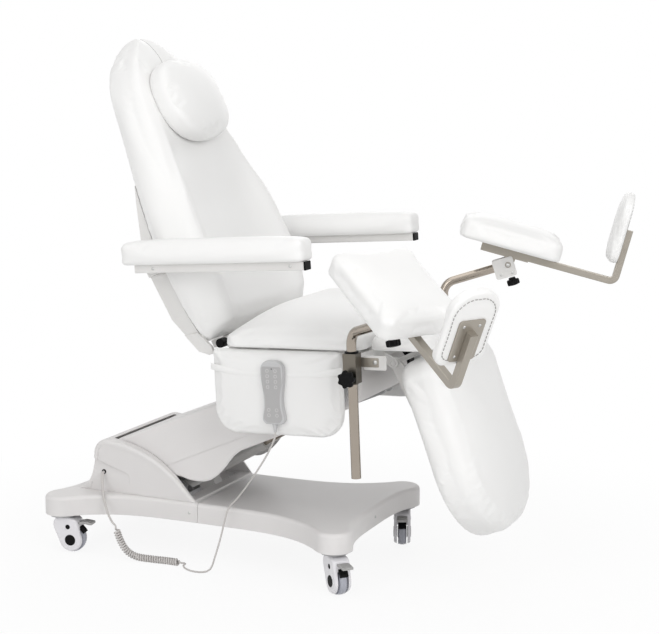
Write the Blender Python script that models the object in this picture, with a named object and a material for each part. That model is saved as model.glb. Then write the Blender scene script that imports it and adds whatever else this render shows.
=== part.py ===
"""Electric treatment bed on casters, with reclining back, drop leg rest and two leg supports.

Metres, +Z up, +X towards the foot end, +Y to the patient's left.
The floor is z = 0 and the origin is the middle of the whole bed's box on the floor.
"""
import math

import bmesh
import bpy
from mathutils import Matrix, Vector

for old in list(bpy.data.objects):
    bpy.data.objects.remove(old, do_unlink=True)

# Where the middle of the four casters lies, seen from the part's origin
CASTER_CENTRE_X = -0.274
CASTER_CENTRE_Y = 0.068

# Clearances
SEAT_GAP = 0.0003        # between faces that rest on each other
PIN_GAP = 0.0006         # round a pin that turns in its hole
SIDE_GAP = 0.0015        # beside a plate that swings past another
LAP = 0.001              # how far shapes of one piece run into each other

# A stuffed pad's profile, as shares of its edge radius, thickness and crown
FOOT_ROUND = 0.45
ROUND_MID = 0.28
DRAW_HEIGHT = 0.42
CROWN_START = 0.12

# Base and its covers
CASTER_SPAN_X = 0.843
CASTER_SPAN_Y = 0.477
CORNER_R = 0.050
BASE_BOTTOM = 0.112
BASE_TOP = 0.168
BASE_WALL = 0.004
BASE_FILLET = 0.012
WAIST_IN = 0.0665
BOW_OUT = 0.0155
SIDE_JOIN_DEG = 46.0
END_JOIN_DEG = 20.0
COVER_SPLIT_X = -0.008
COVER_SPLIT_GAP = 0.0012
COVER_POST_REAR_X = -0.375
COVER_POST_FRONT_X = 0.300
CHASSIS_RAIL_Y = 0.115
CHASSIS_RAIL_W = 0.030
CHASSIS_RAIL_H = 0.030
CHASSIS_LIFT = 0.006
CASTER_PLATE_R = 0.038
BEAM_HALF = 0.020
COVER_POST_R = 0.010
CONTROL_BOX = (0.180, 0.130, 0.034)
CONTROL_BOX_X = 0.190
CONTROL_BOX_R = 0.008

# Tower at the rear of the base, which hides the arm's lower pivot
TOWER_SIDE_GAP = 0.009
TOWER_CHEEK = 0.026
TOWER_REAR_X = -0.366
TOWER_TOP_Z = 0.325
TOWER_FOOT_X = -0.012
TOWER_SLOPE_R = 0.320
TOWER_SLOPE_BACK = 0.300
TOWER_SLOPE_DOWN = 0.160
TOWER_SHOULDER_R = 0.050
TOWER_SHOULDER_IN = 0.018
TOWER_TOE_H = 0.022
TOWER_TOE_OUT = 0.020
TOWER_SLOT_GAP = 0.008
TOWER_WELL = 0.210
GLAND_X = -0.322
GLAND_Z = 0.226
GLAND_R = 0.009
GLAND_STANDS = 0.004
UPRIGHT_Y = 0.141
UPRIGHT_T = 0.012
UPRIGHT_EYE = 0.016
UPRIGHT_FOOT_HALF = 0.050

# Lift arm, a parallelogram under a long cover
ARM_PIVOT_X = -0.240
ARM_PIVOT_Z = 0.250
ARM_LENGTH = 0.6986
ARM_ANGLE_DEG = 23.63
ARM_BAR_Y = 0.083
ARM_BAR_T = 0.024
ARM_BAR_H = 0.052
ARM_SHAFT_R = 0.0125
ARM_TIE_R = 0.011
ARM_TIE_Z = 0.012
ARM_TIES = (0.20, 0.84)
ARM_COVER_HALF_W = 0.165
ARM_COVER_WALL = 0.004
ARM_COVER_REAR_R = 0.083
ARM_COVER_NOSE_R = 0.066
ARM_SKIRT_DROP = 0.117
ARM_SKIRT_X = 0.215
LINK_DROP = 0.060
LINK_T = 0.014
LINK_H = 0.030
LINK_PIN_R = 0.008

# Lift actuator between the chassis and the arm
LIFT_MOTOR_X = -0.160
LIFT_MOTOR_Z = 0.165
LIFT_EYE_X = 0.480
LIFT_EYE_Z = -0.060
LIFT_TUBE_R = 0.020
LIFT_ROD_R = 0.010
LIFT_TUBE_LENGTH = 0.300
LIFT_LUG_Y = 0.014
LIFT_LUG_T = 0.006
LIFT_EYE_R = 0.013
LIFT_BEAM_HALF = 0.012
LIFT_TUBE_START = 0.022
LIFT_ROD_IN = 0.45
LIFT_GEAR_X = 0.036
LIFT_GEAR_L = 0.050
LIFT_GEAR_DROP = 0.075
LIFT_GEAR_W = 0.042

# Seat, which tilts on the lift head
TILT_X = 0.360
TILT_Z = 0.600
SEAT_TILT_DEG = 2.5
HEAD_CHEEK_Y = 0.176
HEAD_CHEEK_T = 0.008
HEAD_ROD_R = 0.008
HEAD_BOSS_R = 0.034
HEAD_EYE_R = 0.016
SEAT_RAIL_Y = 0.200
SEAT_RAIL_W = 0.024
SEAT_RAIL_H = 0.026
SEAT_RAIL_BASE = 0.020
SEAT_BAR_HALF = 0.012
SEAT_BARS = (-0.214, -0.120, 0.080)
SEAT_LUG_R = 0.015
SEAT_LUG_FOOT = 0.030
HINGE_EYE_R = 0.013
SEAT_REAR = -0.240
SEAT_FRONT = 0.168
SEAT_HALF_W = 0.300
SEAT_EDGE_H = 0.046
SEAT_CROWN = 0.062
SEAT_EDGE_R = 0.022
SEAT_CORNER_R = 0.040
SEAT_PULL = 0.004
SEAT_REAR_SHARE = 0.66
SEAT_RISE_RUN = 0.160
APRON_REAR = -0.271
APRON_FRONT = 0.107
APRON_DROP = 0.187
APRON_T = 0.030
APRON_CORNER_R = 0.070
APRON_CROWN = 0.008
APRON_EDGE_R = 0.010
APRON_TOP_R = 0.012

# Handset on the apron
HANDSET_X = -0.080
HANDSET_TOP = 0.020
HANDSET_LENGTH = 0.166
HANDSET_W = 0.064
HANDSET_T = 0.019
HANDSET_WAIST = 0.052
HANDSET_CORNER_R = 0.012
RELIEF_LENGTH = 0.022
RELIEF_R = 0.0070
RELIEF_TIP_R = 0.0040

# Backrest, hinged at the rear of the seat
BACK_HINGE_X = -0.266
BACK_HINGE_Z = 0.048
BACK_RECLINE_DEG = 27.2
BACK_CUSHION_FOOT = 0.055
BACK_REAR_V = -0.040
BACK_SHELL_T = 0.018
BACK_SHELL_GAP = 0.0006
BACK_SHELL_BELLY = 0.040
BACK_SHELL_TOP = 0.480
BACK_BAR_TOP = 0.400
BACK_TAIL_Y = 0.248
BACK_TAIL_T = 0.012
BACK_BAR_Y = 0.110
BACK_BAR_W = 0.024
BACK_BAR_T = 0.012
BACK_CROSS_HALF = 0.012
BACK_CROWN_U = 0.700
BACK_LUG_EYE_R = 0.014
BACK_FOOT_H = 0.020
BACK_SHELL_IN = 0.010
BACK_SHELL_FLAT = 0.92
BACK_LUG_Y = 0.180
BACK_LUG_T = 0.010
BACK_PIN_R = 0.008
BACK_LEVER_R = 0.100
BACK_LEVER_DEG = 30.0
BACK_LEVER_T = 0.006
BACK_MOTOR_Y = 0.222
BACK_TUBE_R = 0.019
BACK_ROD_R = 0.009
BACK_TUBE_REAR = -0.185
BACK_TUBE_FRONT = 0.085
BACK_BORE_END = 0.025
BACK_ROD_IN = 0.090
BACK_GEAR_X = 0.040
BACK_GEAR_DROP = 0.075
BACK_STRAP_HALF = 0.009
BACK_CLEVIS_HALF = 0.012
BACK_EYE_HALF = 0.0075
BACK_LEVER_EYE_R = 0.012
PILLOW_U = 0.662
PILLOW_HALF_W = 0.152
PILLOW_HALF_H = 0.121
PILLOW_T = 0.088
PILLOW_OFF = 0.0024
PILLOW_EDGE_R = 0.026
PILLOW_CROWN = 0.014
PILLOW_SQUARE = 0.8

# Armrests, hinged on the sides of the backrest
ARMREST_Y = 0.365
ARMREST_PIVOT_U = 0.240
ARMREST_PIVOT_V = -0.012
ARMREST_TILT_DEG = 4.0
ARMREST_RAIL_REAR = -0.056
ARMREST_RAIL_FRONT = 0.432
ARMREST_RAIL_W = 0.030
ARMREST_RAIL_H = 0.022
ARMREST_PAD_REAR = -0.088
ARMREST_PAD_FRONT = 0.441
ARMREST_PAD_W = 0.084
ARMREST_PAD_T = 0.062
ARMREST_PIN_R = 0.007
ARMREST_CORNER_R = 0.020
ARMREST_EDGE_R = 0.015
ARMREST_CROWN = 0.004
ARMREST_EAR_R = 0.0105
ARMREST_EAR_T = 0.008

# Leg rest, hung at the front of the seat
LEG_HINGE_X = 0.180
LEG_HINGE_Z = -0.010
LEG_HANG_DEG = 69.5
LEG_PAD_REAR = 0.004
LEG_PAD_LENGTH = 0.520
LEG_PAD_HALF_W = 0.232
LEG_PAD_T = 0.104
LEG_PAD_LIFT = 0.044
LEG_PAD_CROWN = 0.032
LEG_PAD_EDGE_R = 0.026
LEG_PAD_CORNER_R = 0.050
LEG_PAD_PULL = 0.004
LEG_PAD_ROUND = 0.85
LEG_BOARD_T = 0.010
LEG_BOARD_IN = 0.060
LEG_BOARD_R = 0.040
LEG_BOARD_SHARE = 0.72
LEG_ARM_SHARE = 0.55
LEG_ARM_H = 0.018
LEG_ARM_Y = 0.105
LEG_ARM_T = 0.014
LEG_PIN_R = 0.007

# Leg supports: post, tilting knee pad and sliding foot bar
POST_X = 0.1525
POST_Y = 0.330
POST_R = 0.0125
POST_FOOT = -0.269
POST_BEND_R = 0.040
POST_ARM = 0.190
POST_ARM_RISE_DEG = 15.0
SOCKET_W = 0.035
SOCKET_TOP = 0.050
SOCKET_FOOT = -0.026
BUSH_R = 0.0152
BUSH_COLLAR_R = 0.0175
BUSH_COLLAR_H = 0.004
BUSH_TAIL = 0.002
POST_TIP_SHORT = 0.020
KNOB_R = 0.023
KNOB_T = 0.016
KNOB_LOBES = 7
KNOB_LOBE_DEPTH = 0.10
TILT_KNOB_R = 0.0184
KNOB_STUD_R = 0.005
KNOB_STUD = 0.012
POST_KNOB_Z = -0.010
BRACKET_W = 0.060
BRACKET_T = 0.004
BRACKET_UP = 0.022
BRACKET_DOWN = 0.034
BRACKET_REAR_SHARE = 0.70
BRACKET_CORNER_R = 0.006
SADDLE_LENGTH = 0.022
PAD_RAIL = 0.025
PAD_RAIL_REAR = -0.086
PAD_RAIL_FRONT = 0.052
PAD_RAIL_LIFT = 0.033
PAD_RAIL_LUG_R = 0.014
PAD_RAIL_LUG_FOOT = 0.016
KNEE_PAD_LENGTH = 0.283
KNEE_PAD_W = 0.226
KNEE_PAD_T = 0.053
KNEE_PAD_SHIFT = -0.009
KNEE_PAD_CROWN = 0.013
KNEE_PAD_EDGE_R = 0.018
KNEE_PAD_CORNER_R = 0.026
KNEE_PAD_PULL = 0.003
KNEE_BOARD_IN = 0.006
KNEE_BOARD_T = 0.005
FOOT_BAR = 0.0200
FOOT_BAR_BEND_R = 0.018
FOOT_BAR_UP = 0.151
FOOT_BAR_REAR = -0.060
FOOT_PLATE_W = 0.070
FOOT_PLATE_FOOT = 0.068
FOOT_PLATE_TOP = 0.180
FOOT_PLATE_T = 0.003
FOOT_PAD_FOOT = 0.051
FOOT_PAD_TOP = 0.256
FOOT_PAD_W = 0.136
FOOT_PAD_EDGE_R = 0.011
FOOT_PAD_CORNER_R = 0.030
FOOT_PAD_ROUND = 0.88
FOOT_PAD_T = 0.028
FOOT_PAD_CROWN = 0.004

# How each leg support stands: side, height of its bend over the tilt axis, spread, droop, reach
LEG_POSES = {
    "right": {"side": -1, "bend": 0.100, "spread": 35.6, "droop": 30.8, "reach": 0.291},
    "left": {"side": 1, "bend": 0.1415, "spread": 19.0, "droop": 17.3, "reach": 0.301},
}

# Casters
CASTER_H = 0.104
WHEEL_R = 0.0375
WHEEL_W = 0.022
WHEEL_SIDES = 16
CASTER_TRAIL = 0.028
CASTER_SHELL_R = 0.0335
CASTER_SHELL_W = 0.048
CASTER_SLOT_R = 0.0405
CASTER_SLOT_W = 0.0264
CASTER_STEM_R = 0.017
CASTER_STEM_H = 0.007
CASTER_BROW_R = 0.026
CASTER_BROW_X = 0.002
CASTER_BROW_DOWN = 0.022
AXLE_R = 0.012
AXLE_STANDS = 0.0015
TYRE_CHAMFER = 0.005
HUB_SHARE = 0.4
PEDAL_HINGE_X = 0.0545
PEDAL_HINGE_Z = 0.086
PEDAL_LENGTH = 0.036
PEDAL_W = 0.030
PEDAL_T = 0.005
PEDAL_PIN_R = 0.004
PEDAL_CREST_X = 0.010
PEDAL_CREST_Z = 0.006
PEDAL_TIP_Z = 0.003
PEDAL_LUG_HALF = 0.005
CASTER_TURN_DEG = {"rear_right": 10.0, "front_right": -42.0, "rear_left": 28.0, "front_left": -68.0}

# Handset cord, seen from the middle of the casters
CORD_R = 0.0021
COIL_R = 0.0105
COIL_TURNS = 32
COIL_POINTS = 8
LEAD_ROUTE = ((-0.3180, -0.2190, 0.2235), (-0.3030, -0.2360, 0.2090), (-0.2850, -0.2490, 0.1800),
              (-0.2690, -0.2560, 0.1480), (-0.2520, -0.2590, 0.1220), (-0.2400, -0.2598, 0.1060))
COIL_ROUTE = ((-0.2360, -0.2600, 0.1000), (-0.2230, -0.2590, 0.0620), (-0.2060, -0.2530, 0.0310),
              (-0.1800, -0.2440, 0.0140), (-0.1300, -0.2370, 0.0108), (-0.0890, -0.2320, 0.0106),
              (-0.0400, -0.2320, 0.0106))
COIL_TAIL = ((0.0060, 0.0000, 0.0000), (0.0105, -0.0025, 0.0000), (0.0120, -0.0080, 0.0000))
DROP_ROUTE = ((-0.0180, -0.2580, 0.0070), (0.0050, -0.2620, 0.0030), (0.0360, -0.2590, 0.0030),
              (0.0580, -0.2520, 0.0120), (0.0690, -0.2450, 0.0450), (0.0800, -0.2300, 0.1000),
              (0.0850, -0.2080, 0.1560), (0.0920, -0.1980, 0.1790), (0.1200, -0.2120, 0.2060),
              (0.1620, -0.2420, 0.2480), (0.2120, -0.2760, 0.3040), (0.2560, -0.3010, 0.3600),
              (0.2790, -0.3098, 0.3980))


def finish(name, colour, roughness, metallic=0.0):
    """A Principled BSDF finish."""
    made = bpy.data.materials.new(name)
    made.use_nodes = True
    shader = made.node_tree.nodes["Principled BSDF"]
    shader.inputs["Base Color"].default_value = (*colour, 1.0)
    shader.inputs["Roughness"].default_value = roughness
    shader.inputs["Metallic"].default_value = metallic
    return made


UPHOLSTERY = finish("white_leatherette", (0.88, 0.88, 0.87), 0.45)
COVER_PLASTIC = finish("warm_grey_plastic", (0.68, 0.66, 0.64), 0.50)
WHITE_PAINT = finish("white_paint", (0.84, 0.83, 0.81), 0.40)
STAINLESS = finish("stainless_steel", (0.55, 0.52, 0.48), 0.30, 1.0)
GREY_STEEL = finish("grey_painted_steel", (0.30, 0.30, 0.30), 0.50, 0.3)
BLACK_PLASTIC = finish("black_plastic", (0.02, 0.02, 0.02), 0.45)
CASTER_SHELL = finish("caster_shell", (0.80, 0.80, 0.82), 0.35)
WHEEL_GREY = finish("wheel_polyurethane", (0.42, 0.43, 0.48), 0.30)
PEDAL_GREY = finish("pedal_grey", (0.48, 0.48, 0.48), 0.40)
HANDSET_GREY = finish("handset_grey", (0.55, 0.55, 0.55), 0.45)
CORD_GREY = finish("cord_grey", (0.62, 0.60, 0.57), 0.50)


def empty(name, parent, at, pitch_deg=0.0, turn_deg=0.0):
    """A frame to hang pieces on: pitch turns it nose-up about Y, turn about Z."""
    made = bpy.data.objects.new(name, None)
    bpy.context.scene.collection.objects.link(made)
    made.parent = parent
    made.location = at
    made.rotation_euler = (0.0, -math.radians(pitch_deg), math.radians(turn_deg))
    return made


def circle(centre, radius, sides, start_deg=0.0):
    """Points round a circle in a plane."""
    step = 2.0 * math.pi / sides
    start = math.radians(start_deg)
    return [(centre[0] + radius * math.cos(start + n * step), centre[1] + radius * math.sin(start + n * step))
            for n in range(sides)]


def arc(centre, radius, from_deg, to_deg, steps):
    """Points along an arc, both ends included."""
    turns = [math.radians(from_deg + (to_deg - from_deg) * n / steps) for n in range(steps + 1)]
    return [(centre[0] + radius * math.cos(t), centre[1] + radius * math.sin(t)) for t in turns]


def hull(points):
    """The convex outline round some points in a plane, anticlockwise."""
    ordered = sorted(set(points))

    def half(walk):
        line = []
        for p in walk:
            while len(line) > 1 and ((line[-1][0] - line[-2][0]) * (p[1] - line[-2][1])
                                     - (line[-1][1] - line[-2][1]) * (p[0] - line[-2][0])) <= 0:
                line.pop()
            line.append(p)
        return line[:-1]

    return half(ordered) + half(reversed(ordered))


def rounded(low, high, radius, steps=4):
    """A rectangle with round corners."""
    (x0, y0), (x1, y1) = low, high
    return (arc((x1 - radius, y0 + radius), radius, -90, 0, steps)
            + arc((x1 - radius, y1 - radius), radius, 0, 90, steps)
            + arc((x0 + radius, y1 - radius), radius, 90, 180, steps)
            + arc((x0 + radius, y0 + radius), radius, 180, 270, steps))


AXES = {"x": lambda p, q, t: (t, p, q), "y": lambda p, q, t: (p, t, q), "z": lambda p, q, t: (p, q, t)}


def skin(rings, closed_ends=True):
    """A closed body through rings of points, with flat ends or one-point ends."""
    made = bmesh.new()
    loops = [[made.verts.new(p) for p in ring] for ring in rings]
    for low, high in zip(loops, loops[1:]):
        if len(low) == 1 or len(high) == 1:
            tip, loop = (low, high) if len(low) == 1 else (high, low)
            for n in range(len(loop)):
                made.faces.new((tip[0], loop[n], loop[(n + 1) % len(loop)]))
            continue
        for n in range(len(low)):
            m = (n + 1) % len(low)
            made.faces.new((low[n], low[m], high[m], high[n]))
    if closed_ends:
        for loop in (loops[0], loops[-1]):
            if len(loop) > 2:
                made.faces.new(loop)
    bmesh.ops.recalc_face_normals(made, faces=made.faces[:])
    return made


def prism(outline, axis, low, high):
    """An outline pushed along an axis."""
    put = AXES[axis]
    return skin([[put(p, q, low) for p, q in outline], [put(p, q, high) for p, q in outline]])


def block(low, high):
    """A plain bar between two corners."""
    corners = [(low[0], low[1]), (high[0], low[1]), (high[0], high[1]), (low[0], high[1])]
    return prism(corners, "z", low[2], high[2])


def drum(axis, centre, radius, low, high, sides=16, start_deg=0.0):
    """A round bar along an axis."""
    return prism(circle(centre, radius, sides, start_deg), axis, low, high)


def lathe(profile, axis, centre, sides, start_deg=0.0):
    """A turned body: (radius, distance) pairs along an axis, with a point where the radius is 0."""
    put = AXES[axis]
    rings = []
    for radius, along in profile:
        if radius == 0.0:
            rings.append([put(centre[0], centre[1], along)])
            continue
        rings.append([put(p, q, along) for p, q in circle(centre, radius, sides, start_deg)])
    return skin(rings)


def sweep(path, section):
    """A section carried along a path in the XZ plane, mitred at each point; section is (y, outward)."""
    rings = []
    for n, here in enumerate(path):
        before = Vector(path[max(n - 1, 0)])
        after = Vector(path[min(n + 1, len(path) - 1)])
        here = Vector(here)
        into = (here - before).normalized() if n else (after - here).normalized()
        out = (after - here).normalized() if n < len(path) - 1 else into
        along = (into + out).normalized()
        aside = Vector((-along.y, along.x)) / max(along.dot(into), 0.2)
        rings.append([(here.x + aside.x * q, p, here.y + aside.y * q) for p, q in section])
    return skin(rings)


def body(name, parent, material, add, cut=()):
    """One node: the first shape, joined with the others and cut by the cutters."""
    def as_object(mesh_name, shape):
        data = bpy.data.meshes.new(mesh_name)
        shape.to_mesh(data)
        shape.free()
        made = bpy.data.objects.new(mesh_name, data)
        bpy.context.scene.collection.objects.link(made)
        made.parent = parent
        return made

    made = as_object(name, add[0])
    made.data.materials.append(material)
    tools = [(shape, "UNION") for shape in add[1:]] + [(shape, "DIFFERENCE") for shape in cut]
    for n, (shape, operation) in enumerate(tools):
        tool = as_object(f"{name}_tool_{n}", shape)
        tool.hide_render = True
        tool.display_type = "WIRE"
        step = made.modifiers.new(f"{operation.lower()}_{n}", "BOOLEAN")
        step.operation = operation
        step.solver = "EXACT"
        step.object = tool
    made.data.shade_smooth()
    made.data.set_sharp_from_angle(angle=math.radians(35.0))
    return made


def pad_outline(length_low, length_high, half_w, corner_r, pull, far_r=None, side_steps=3):
    """A cushion seen from above: round corners, and sides that pull in between them."""
    far_r = corner_r if far_r is None else far_r
    points = []
    corners = (((length_high - far_r, -half_w + far_r), far_r, -90, 0),
               ((length_high - far_r, half_w - far_r), far_r, 0, 90),
               ((length_low + corner_r, half_w - corner_r), corner_r, 90, 180),
               ((length_low + corner_r, -half_w + corner_r), corner_r, 180, 270))
    middle = Vector(((length_low + length_high) / 2.0, 0.0))
    for n, (centre, radius, start, stop) in enumerate(corners):
        turn = arc(centre, radius, start, stop, 3)
        following = corners[(n + 1) % 4]
        target = arc(following[0], following[1], following[2], following[3], 1)[0]
        points += turn
        run = Vector(target) - Vector(turn[-1])
        if run.length < 4.0 * pull:
            continue
        inward = Vector((-run.y, run.x)).normalized()
        for k in range(1, side_steps):
            share = k / side_steps
            spot = Vector(turn[-1]) + run * share + inward * pull * math.sin(math.pi * share)
            points.append((spot.x, spot.y))
    return points, middle


def cushion(name, parent, material, plan, thickness, edge_r, crown, draw, place, shape=None,
            rows=((0.50, 0.78),)):
    """A stuffed pad: flat below, round edges, sides drawn in at mid height, crowned top."""
    outline, middle = plan
    half_l = max(abs(p[0] - middle.x) for p in outline)
    half_w = max(abs(p[1] - middle.y) for p in outline)
    foot_r = FOOT_ROUND * edge_r
    levels = ((foot_r, 0.0), (ROUND_MID * foot_r, ROUND_MID * foot_r), (0.0, foot_r),
              (draw, DRAW_HEIGHT * thickness), (0.0, thickness - edge_r),
              (ROUND_MID * edge_r, thickness - ROUND_MID * edge_r), (edge_r, thickness + CROWN_START * crown))
    rings = [[(middle.x, middle.y, 0.0)]]
    for inset, height in levels:
        shrink_l = 1.0 - inset / half_l
        shrink_w = 1.0 - inset / half_w
        rings.append([(middle.x + (p - middle.x) * shrink_l, middle.y + (q - middle.y) * shrink_w, height)
                      for p, q in outline])
    for share, lift in rows:
        top = thickness + crown * lift
        rings.append([(middle.x + (p - middle.x) * share, middle.y + (q - middle.y) * share, top)
                      for p, q in outline])
    rings.append([(middle.x, middle.y, thickness + crown)])
    if shape:
        rings = [[shape(*p) for p in ring] for ring in rings]
    rings = [[tuple(place @ Vector(p)) for p in ring] for ring in rings]
    return body(name, parent, material, [skin(rings)])


def smooth_route(route, spacing):
    """Points at even steps along a smooth curve through the route's own points."""
    ends = [Vector(p) for p in route]
    padded = [2 * ends[0] - ends[1], *ends, 2 * ends[-1] - ends[-2]]
    fine = []
    for a, b, c, d in zip(padded, padded[1:], padded[2:], padded[3:]):
        for n in range(12):
            t = n / 12.0
            fine.append(0.5 * (2 * b + (c - a) * t + (2 * a - 5 * b + 4 * c - d) * t ** 2
                               + (3 * b - a - 3 * c + d) * t ** 3))
    fine.append(ends[-1])
    reach = [0.0]
    for p, q in zip(fine, fine[1:]):
        reach.append(reach[-1] + (q - p).length)
    count = max(2, round(reach[-1] / spacing))
    even = []
    n = 0
    for k in range(count + 1):
        want = reach[-1] * k / count
        while n < len(reach) - 2 and reach[n + 1] < want:
            n += 1
        share = (want - reach[n]) / max(reach[n + 1] - reach[n], 1e-9)
        even.append(fine[n].lerp(fine[n + 1], share))
    return even


def cord(name, parent, points, resolution):
    """A round cord along points, with closed ends."""
    data = bpy.data.curves.new(name, "CURVE")
    data.dimensions = "3D"
    data.bevel_depth = CORD_R
    data.bevel_resolution = resolution
    data.use_fill_caps = True
    line = data.splines.new("POLY")
    line.points.add(len(points) - 1)
    for spot, p in zip(line.points, points):
        spot.co = (p[0], p[1], p[2], 1.0)
    data.materials.append(CORD_GREY)
    made = bpy.data.objects.new(name, data)
    bpy.context.scene.collection.objects.link(made)
    made.parent = parent
    return made


# Frames
floor_frame = empty("floor_frame", None, (CASTER_CENTRE_X, CASTER_CENTRE_Y, 0.0))
arm_frame = empty("arm_frame", floor_frame, (ARM_PIVOT_X, 0.0, ARM_PIVOT_Z), ARM_ANGLE_DEG)
arm_rise = math.radians(ARM_ANGLE_DEG)
HEAD_X = ARM_PIVOT_X + ARM_LENGTH * math.cos(arm_rise)
HEAD_Z = ARM_PIVOT_Z + ARM_LENGTH * math.sin(arm_rise)
head_frame = empty("head_frame", floor_frame, (HEAD_X, 0.0, HEAD_Z))
seat_frame_axis = empty("seat_frame_axis", floor_frame, (TILT_X, 0.0, TILT_Z), SEAT_TILT_DEG)
back_frame_axis = empty("back_frame_axis", seat_frame_axis, (BACK_HINGE_X, 0.0, BACK_HINGE_Z),
                        BACK_RECLINE_DEG - SEAT_TILT_DEG)
leg_frame_axis = empty("leg_frame_axis", seat_frame_axis, (LEG_HINGE_X, 0.0, LEG_HINGE_Z),
                       -LEG_HANG_DEG - SEAT_TILT_DEG)


# Base: chassis and its two moulded covers
def base_outline(inset=0.0):
    """The base seen from above: round caster corners, sides and ends bowed in between them."""
    corner = (CASTER_SPAN_X / 2.0, CASTER_SPAN_Y / 2.0)
    radius = CORNER_R - inset
    lobe = arc(corner, radius, 90.0 + SIDE_JOIN_DEG, -END_JOIN_DEG, 7)
    side_end, front_end = lobe[0], lobe[-1]
    waist = corner[1] - WAIST_IN - inset
    bow = corner[0] + BOW_OUT - inset
    side = [(side_end[0] * n / 6.0, waist + (side_end[1] - waist) * (n / 6.0) ** 4) for n in range(6)]
    front = [(bow + (front_end[0] - bow) * (n / 3.0) ** 4, front_end[1] * n / 3.0) for n in (2, 1, 0)]
    quarter = side + lobe + front
    half = quarter + [(x, -y) for x, y in reversed(quarter[:-1])]
    return half + [(-x, y) for x, y in reversed(half[1:-1])]


def base_plate():
    """The moulded plate with a rounded top edge."""
    mid = ROUND_MID * BASE_FILLET
    levels = ((0.0, BASE_BOTTOM), (0.0, BASE_TOP - BASE_FILLET), (mid, BASE_TOP - mid),
              (BASE_FILLET, BASE_TOP))
    return skin([[(x, y, z) for x, y in base_outline(inset)] for inset, z in levels])


def base_hollow():
    """The room under the plate."""
    return prism(base_outline(BASE_WALL), "z", BASE_BOTTOM - BASE_WALL, BASE_TOP - BASE_WALL)


FAR = 1.0
half_split = COVER_SPLIT_GAP / 2.0
front_half = block((COVER_SPLIT_X - half_split, -FAR, -FAR), (FAR, FAR, FAR))
rear_half = block((-FAR, -FAR, -FAR), (COVER_SPLIT_X + half_split, FAR, FAR))
body("base_front_cover", floor_frame, COVER_PLASTIC, [base_plate()], [base_hollow(), rear_half])

drum_room = ARM_COVER_REAR_R + TOWER_SLOT_GAP
channel_half = ARM_COVER_HALF_W + TOWER_SIDE_GAP
tower_half = channel_half + TOWER_CHEEK
tower_foot_z = BASE_TOP - BASE_WALL
slope_middle = (TOWER_FOOT_X - TOWER_SLOPE_BACK, tower_foot_z - TOWER_SLOPE_DOWN)
shoulder_middle = (TOWER_REAR_X + TOWER_SHOULDER_IN + TOWER_SHOULDER_R, TOWER_TOP_Z - TOWER_SHOULDER_R)
tower_side = [(TOWER_FOOT_X, tower_foot_z)]
tower_side += arc(slope_middle, TOWER_SLOPE_R, 34.0, 82.0, 7)[1:]
tower_side += arc(shoulder_middle, TOWER_SHOULDER_R, 90.0, 175.0, 4)
tower_side += [(TOWER_REAR_X, tower_foot_z + TOWER_TOE_H), (TOWER_REAR_X - TOWER_TOE_OUT, tower_foot_z)]
tower = prism(tower_side, "y", -tower_half, tower_half)
gland = drum("y", (GLAND_X, GLAND_Z), GLAND_R, -tower_half - GLAND_STANDS, GLAND_STANDS - tower_half, 12)
gland_hole = drum("y", (GLAND_X, GLAND_Z), 0.5 * GLAND_R, -tower_half - 2.0 * GLAND_STANDS,
                  -tower_half + 3.0 * GLAND_STANDS, 12)
pivot_room = drum("y", (ARM_PIVOT_X, ARM_PIVOT_Z), drum_room, -channel_half, channel_half, 32, 5.6)
chassis_room = block((ARM_PIVOT_X - drum_room, -channel_half, BASE_TOP + 0.5 * BASE_WALL),
                     (ARM_PIVOT_X + TOWER_WELL, channel_half, ARM_PIVOT_Z))
well_half = UPRIGHT_Y + UPRIGHT_T
chassis_well = block((ARM_PIVOT_X - drum_room, -well_half, 0.0),
                     (ARM_PIVOT_X + TOWER_WELL, well_half, ARM_PIVOT_Z))
nose_room = block((ARM_PIVOT_X, -channel_half, BASE_TOP + BASE_WALL), (FAR, channel_half, FAR))
body("base_rear_cover", floor_frame, COVER_PLASTIC, [base_plate(), tower, gland],
     [base_hollow(), front_half, pivot_room, chassis_room, chassis_well, nose_room, gland_hole])

rail_low = BASE_BOTTOM + CHASSIS_LIFT
rail_high = rail_low + CHASSIS_RAIL_H
caster_x = CASTER_SPAN_X / 2.0
caster_y = CASTER_SPAN_Y / 2.0
chassis = []
for side in (-1, 1):
    chassis.append(block((-caster_x, side * CHASSIS_RAIL_Y - CHASSIS_RAIL_W / 2.0, rail_low),
                         (caster_x, side * CHASSIS_RAIL_Y + CHASSIS_RAIL_W / 2.0, rail_high)))
for end in (-1, 1):
    beam_x = end * (caster_x - BASE_FILLET)
    chassis.append(block((beam_x - CHASSIS_RAIL_W / 2.0, -caster_y, rail_low + LAP),
                         (beam_x + CHASSIS_RAIL_W / 2.0, caster_y, rail_high + LAP)))
    for side in (-1, 1):
        chassis.append(drum("z", (end * caster_x, side * caster_y), CASTER_PLATE_R, CASTER_H + SEAT_GAP,
                            rail_low + 4.0 * LAP, 12))
chassis.append(block((LIFT_MOTOR_X - BEAM_HALF, -CHASSIS_RAIL_Y, rail_low + 2.0 * LAP),
                     (LIFT_MOTOR_X + BEAM_HALF, CHASSIS_RAIL_Y, rail_high - 4.0 * LAP)))
chassis.append(block((ARM_PIVOT_X - BEAM_HALF, -UPRIGHT_Y, rail_low + 2.0 * LAP),
                     (ARM_PIVOT_X + BEAM_HALF, UPRIGHT_Y, rail_high - 4.0 * LAP)))
upright_foot = rail_low + 3.0 * LAP
lug_foot = rail_low + 4.0 * LAP
tray_top = rail_low + 6.0 * LAP
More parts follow.
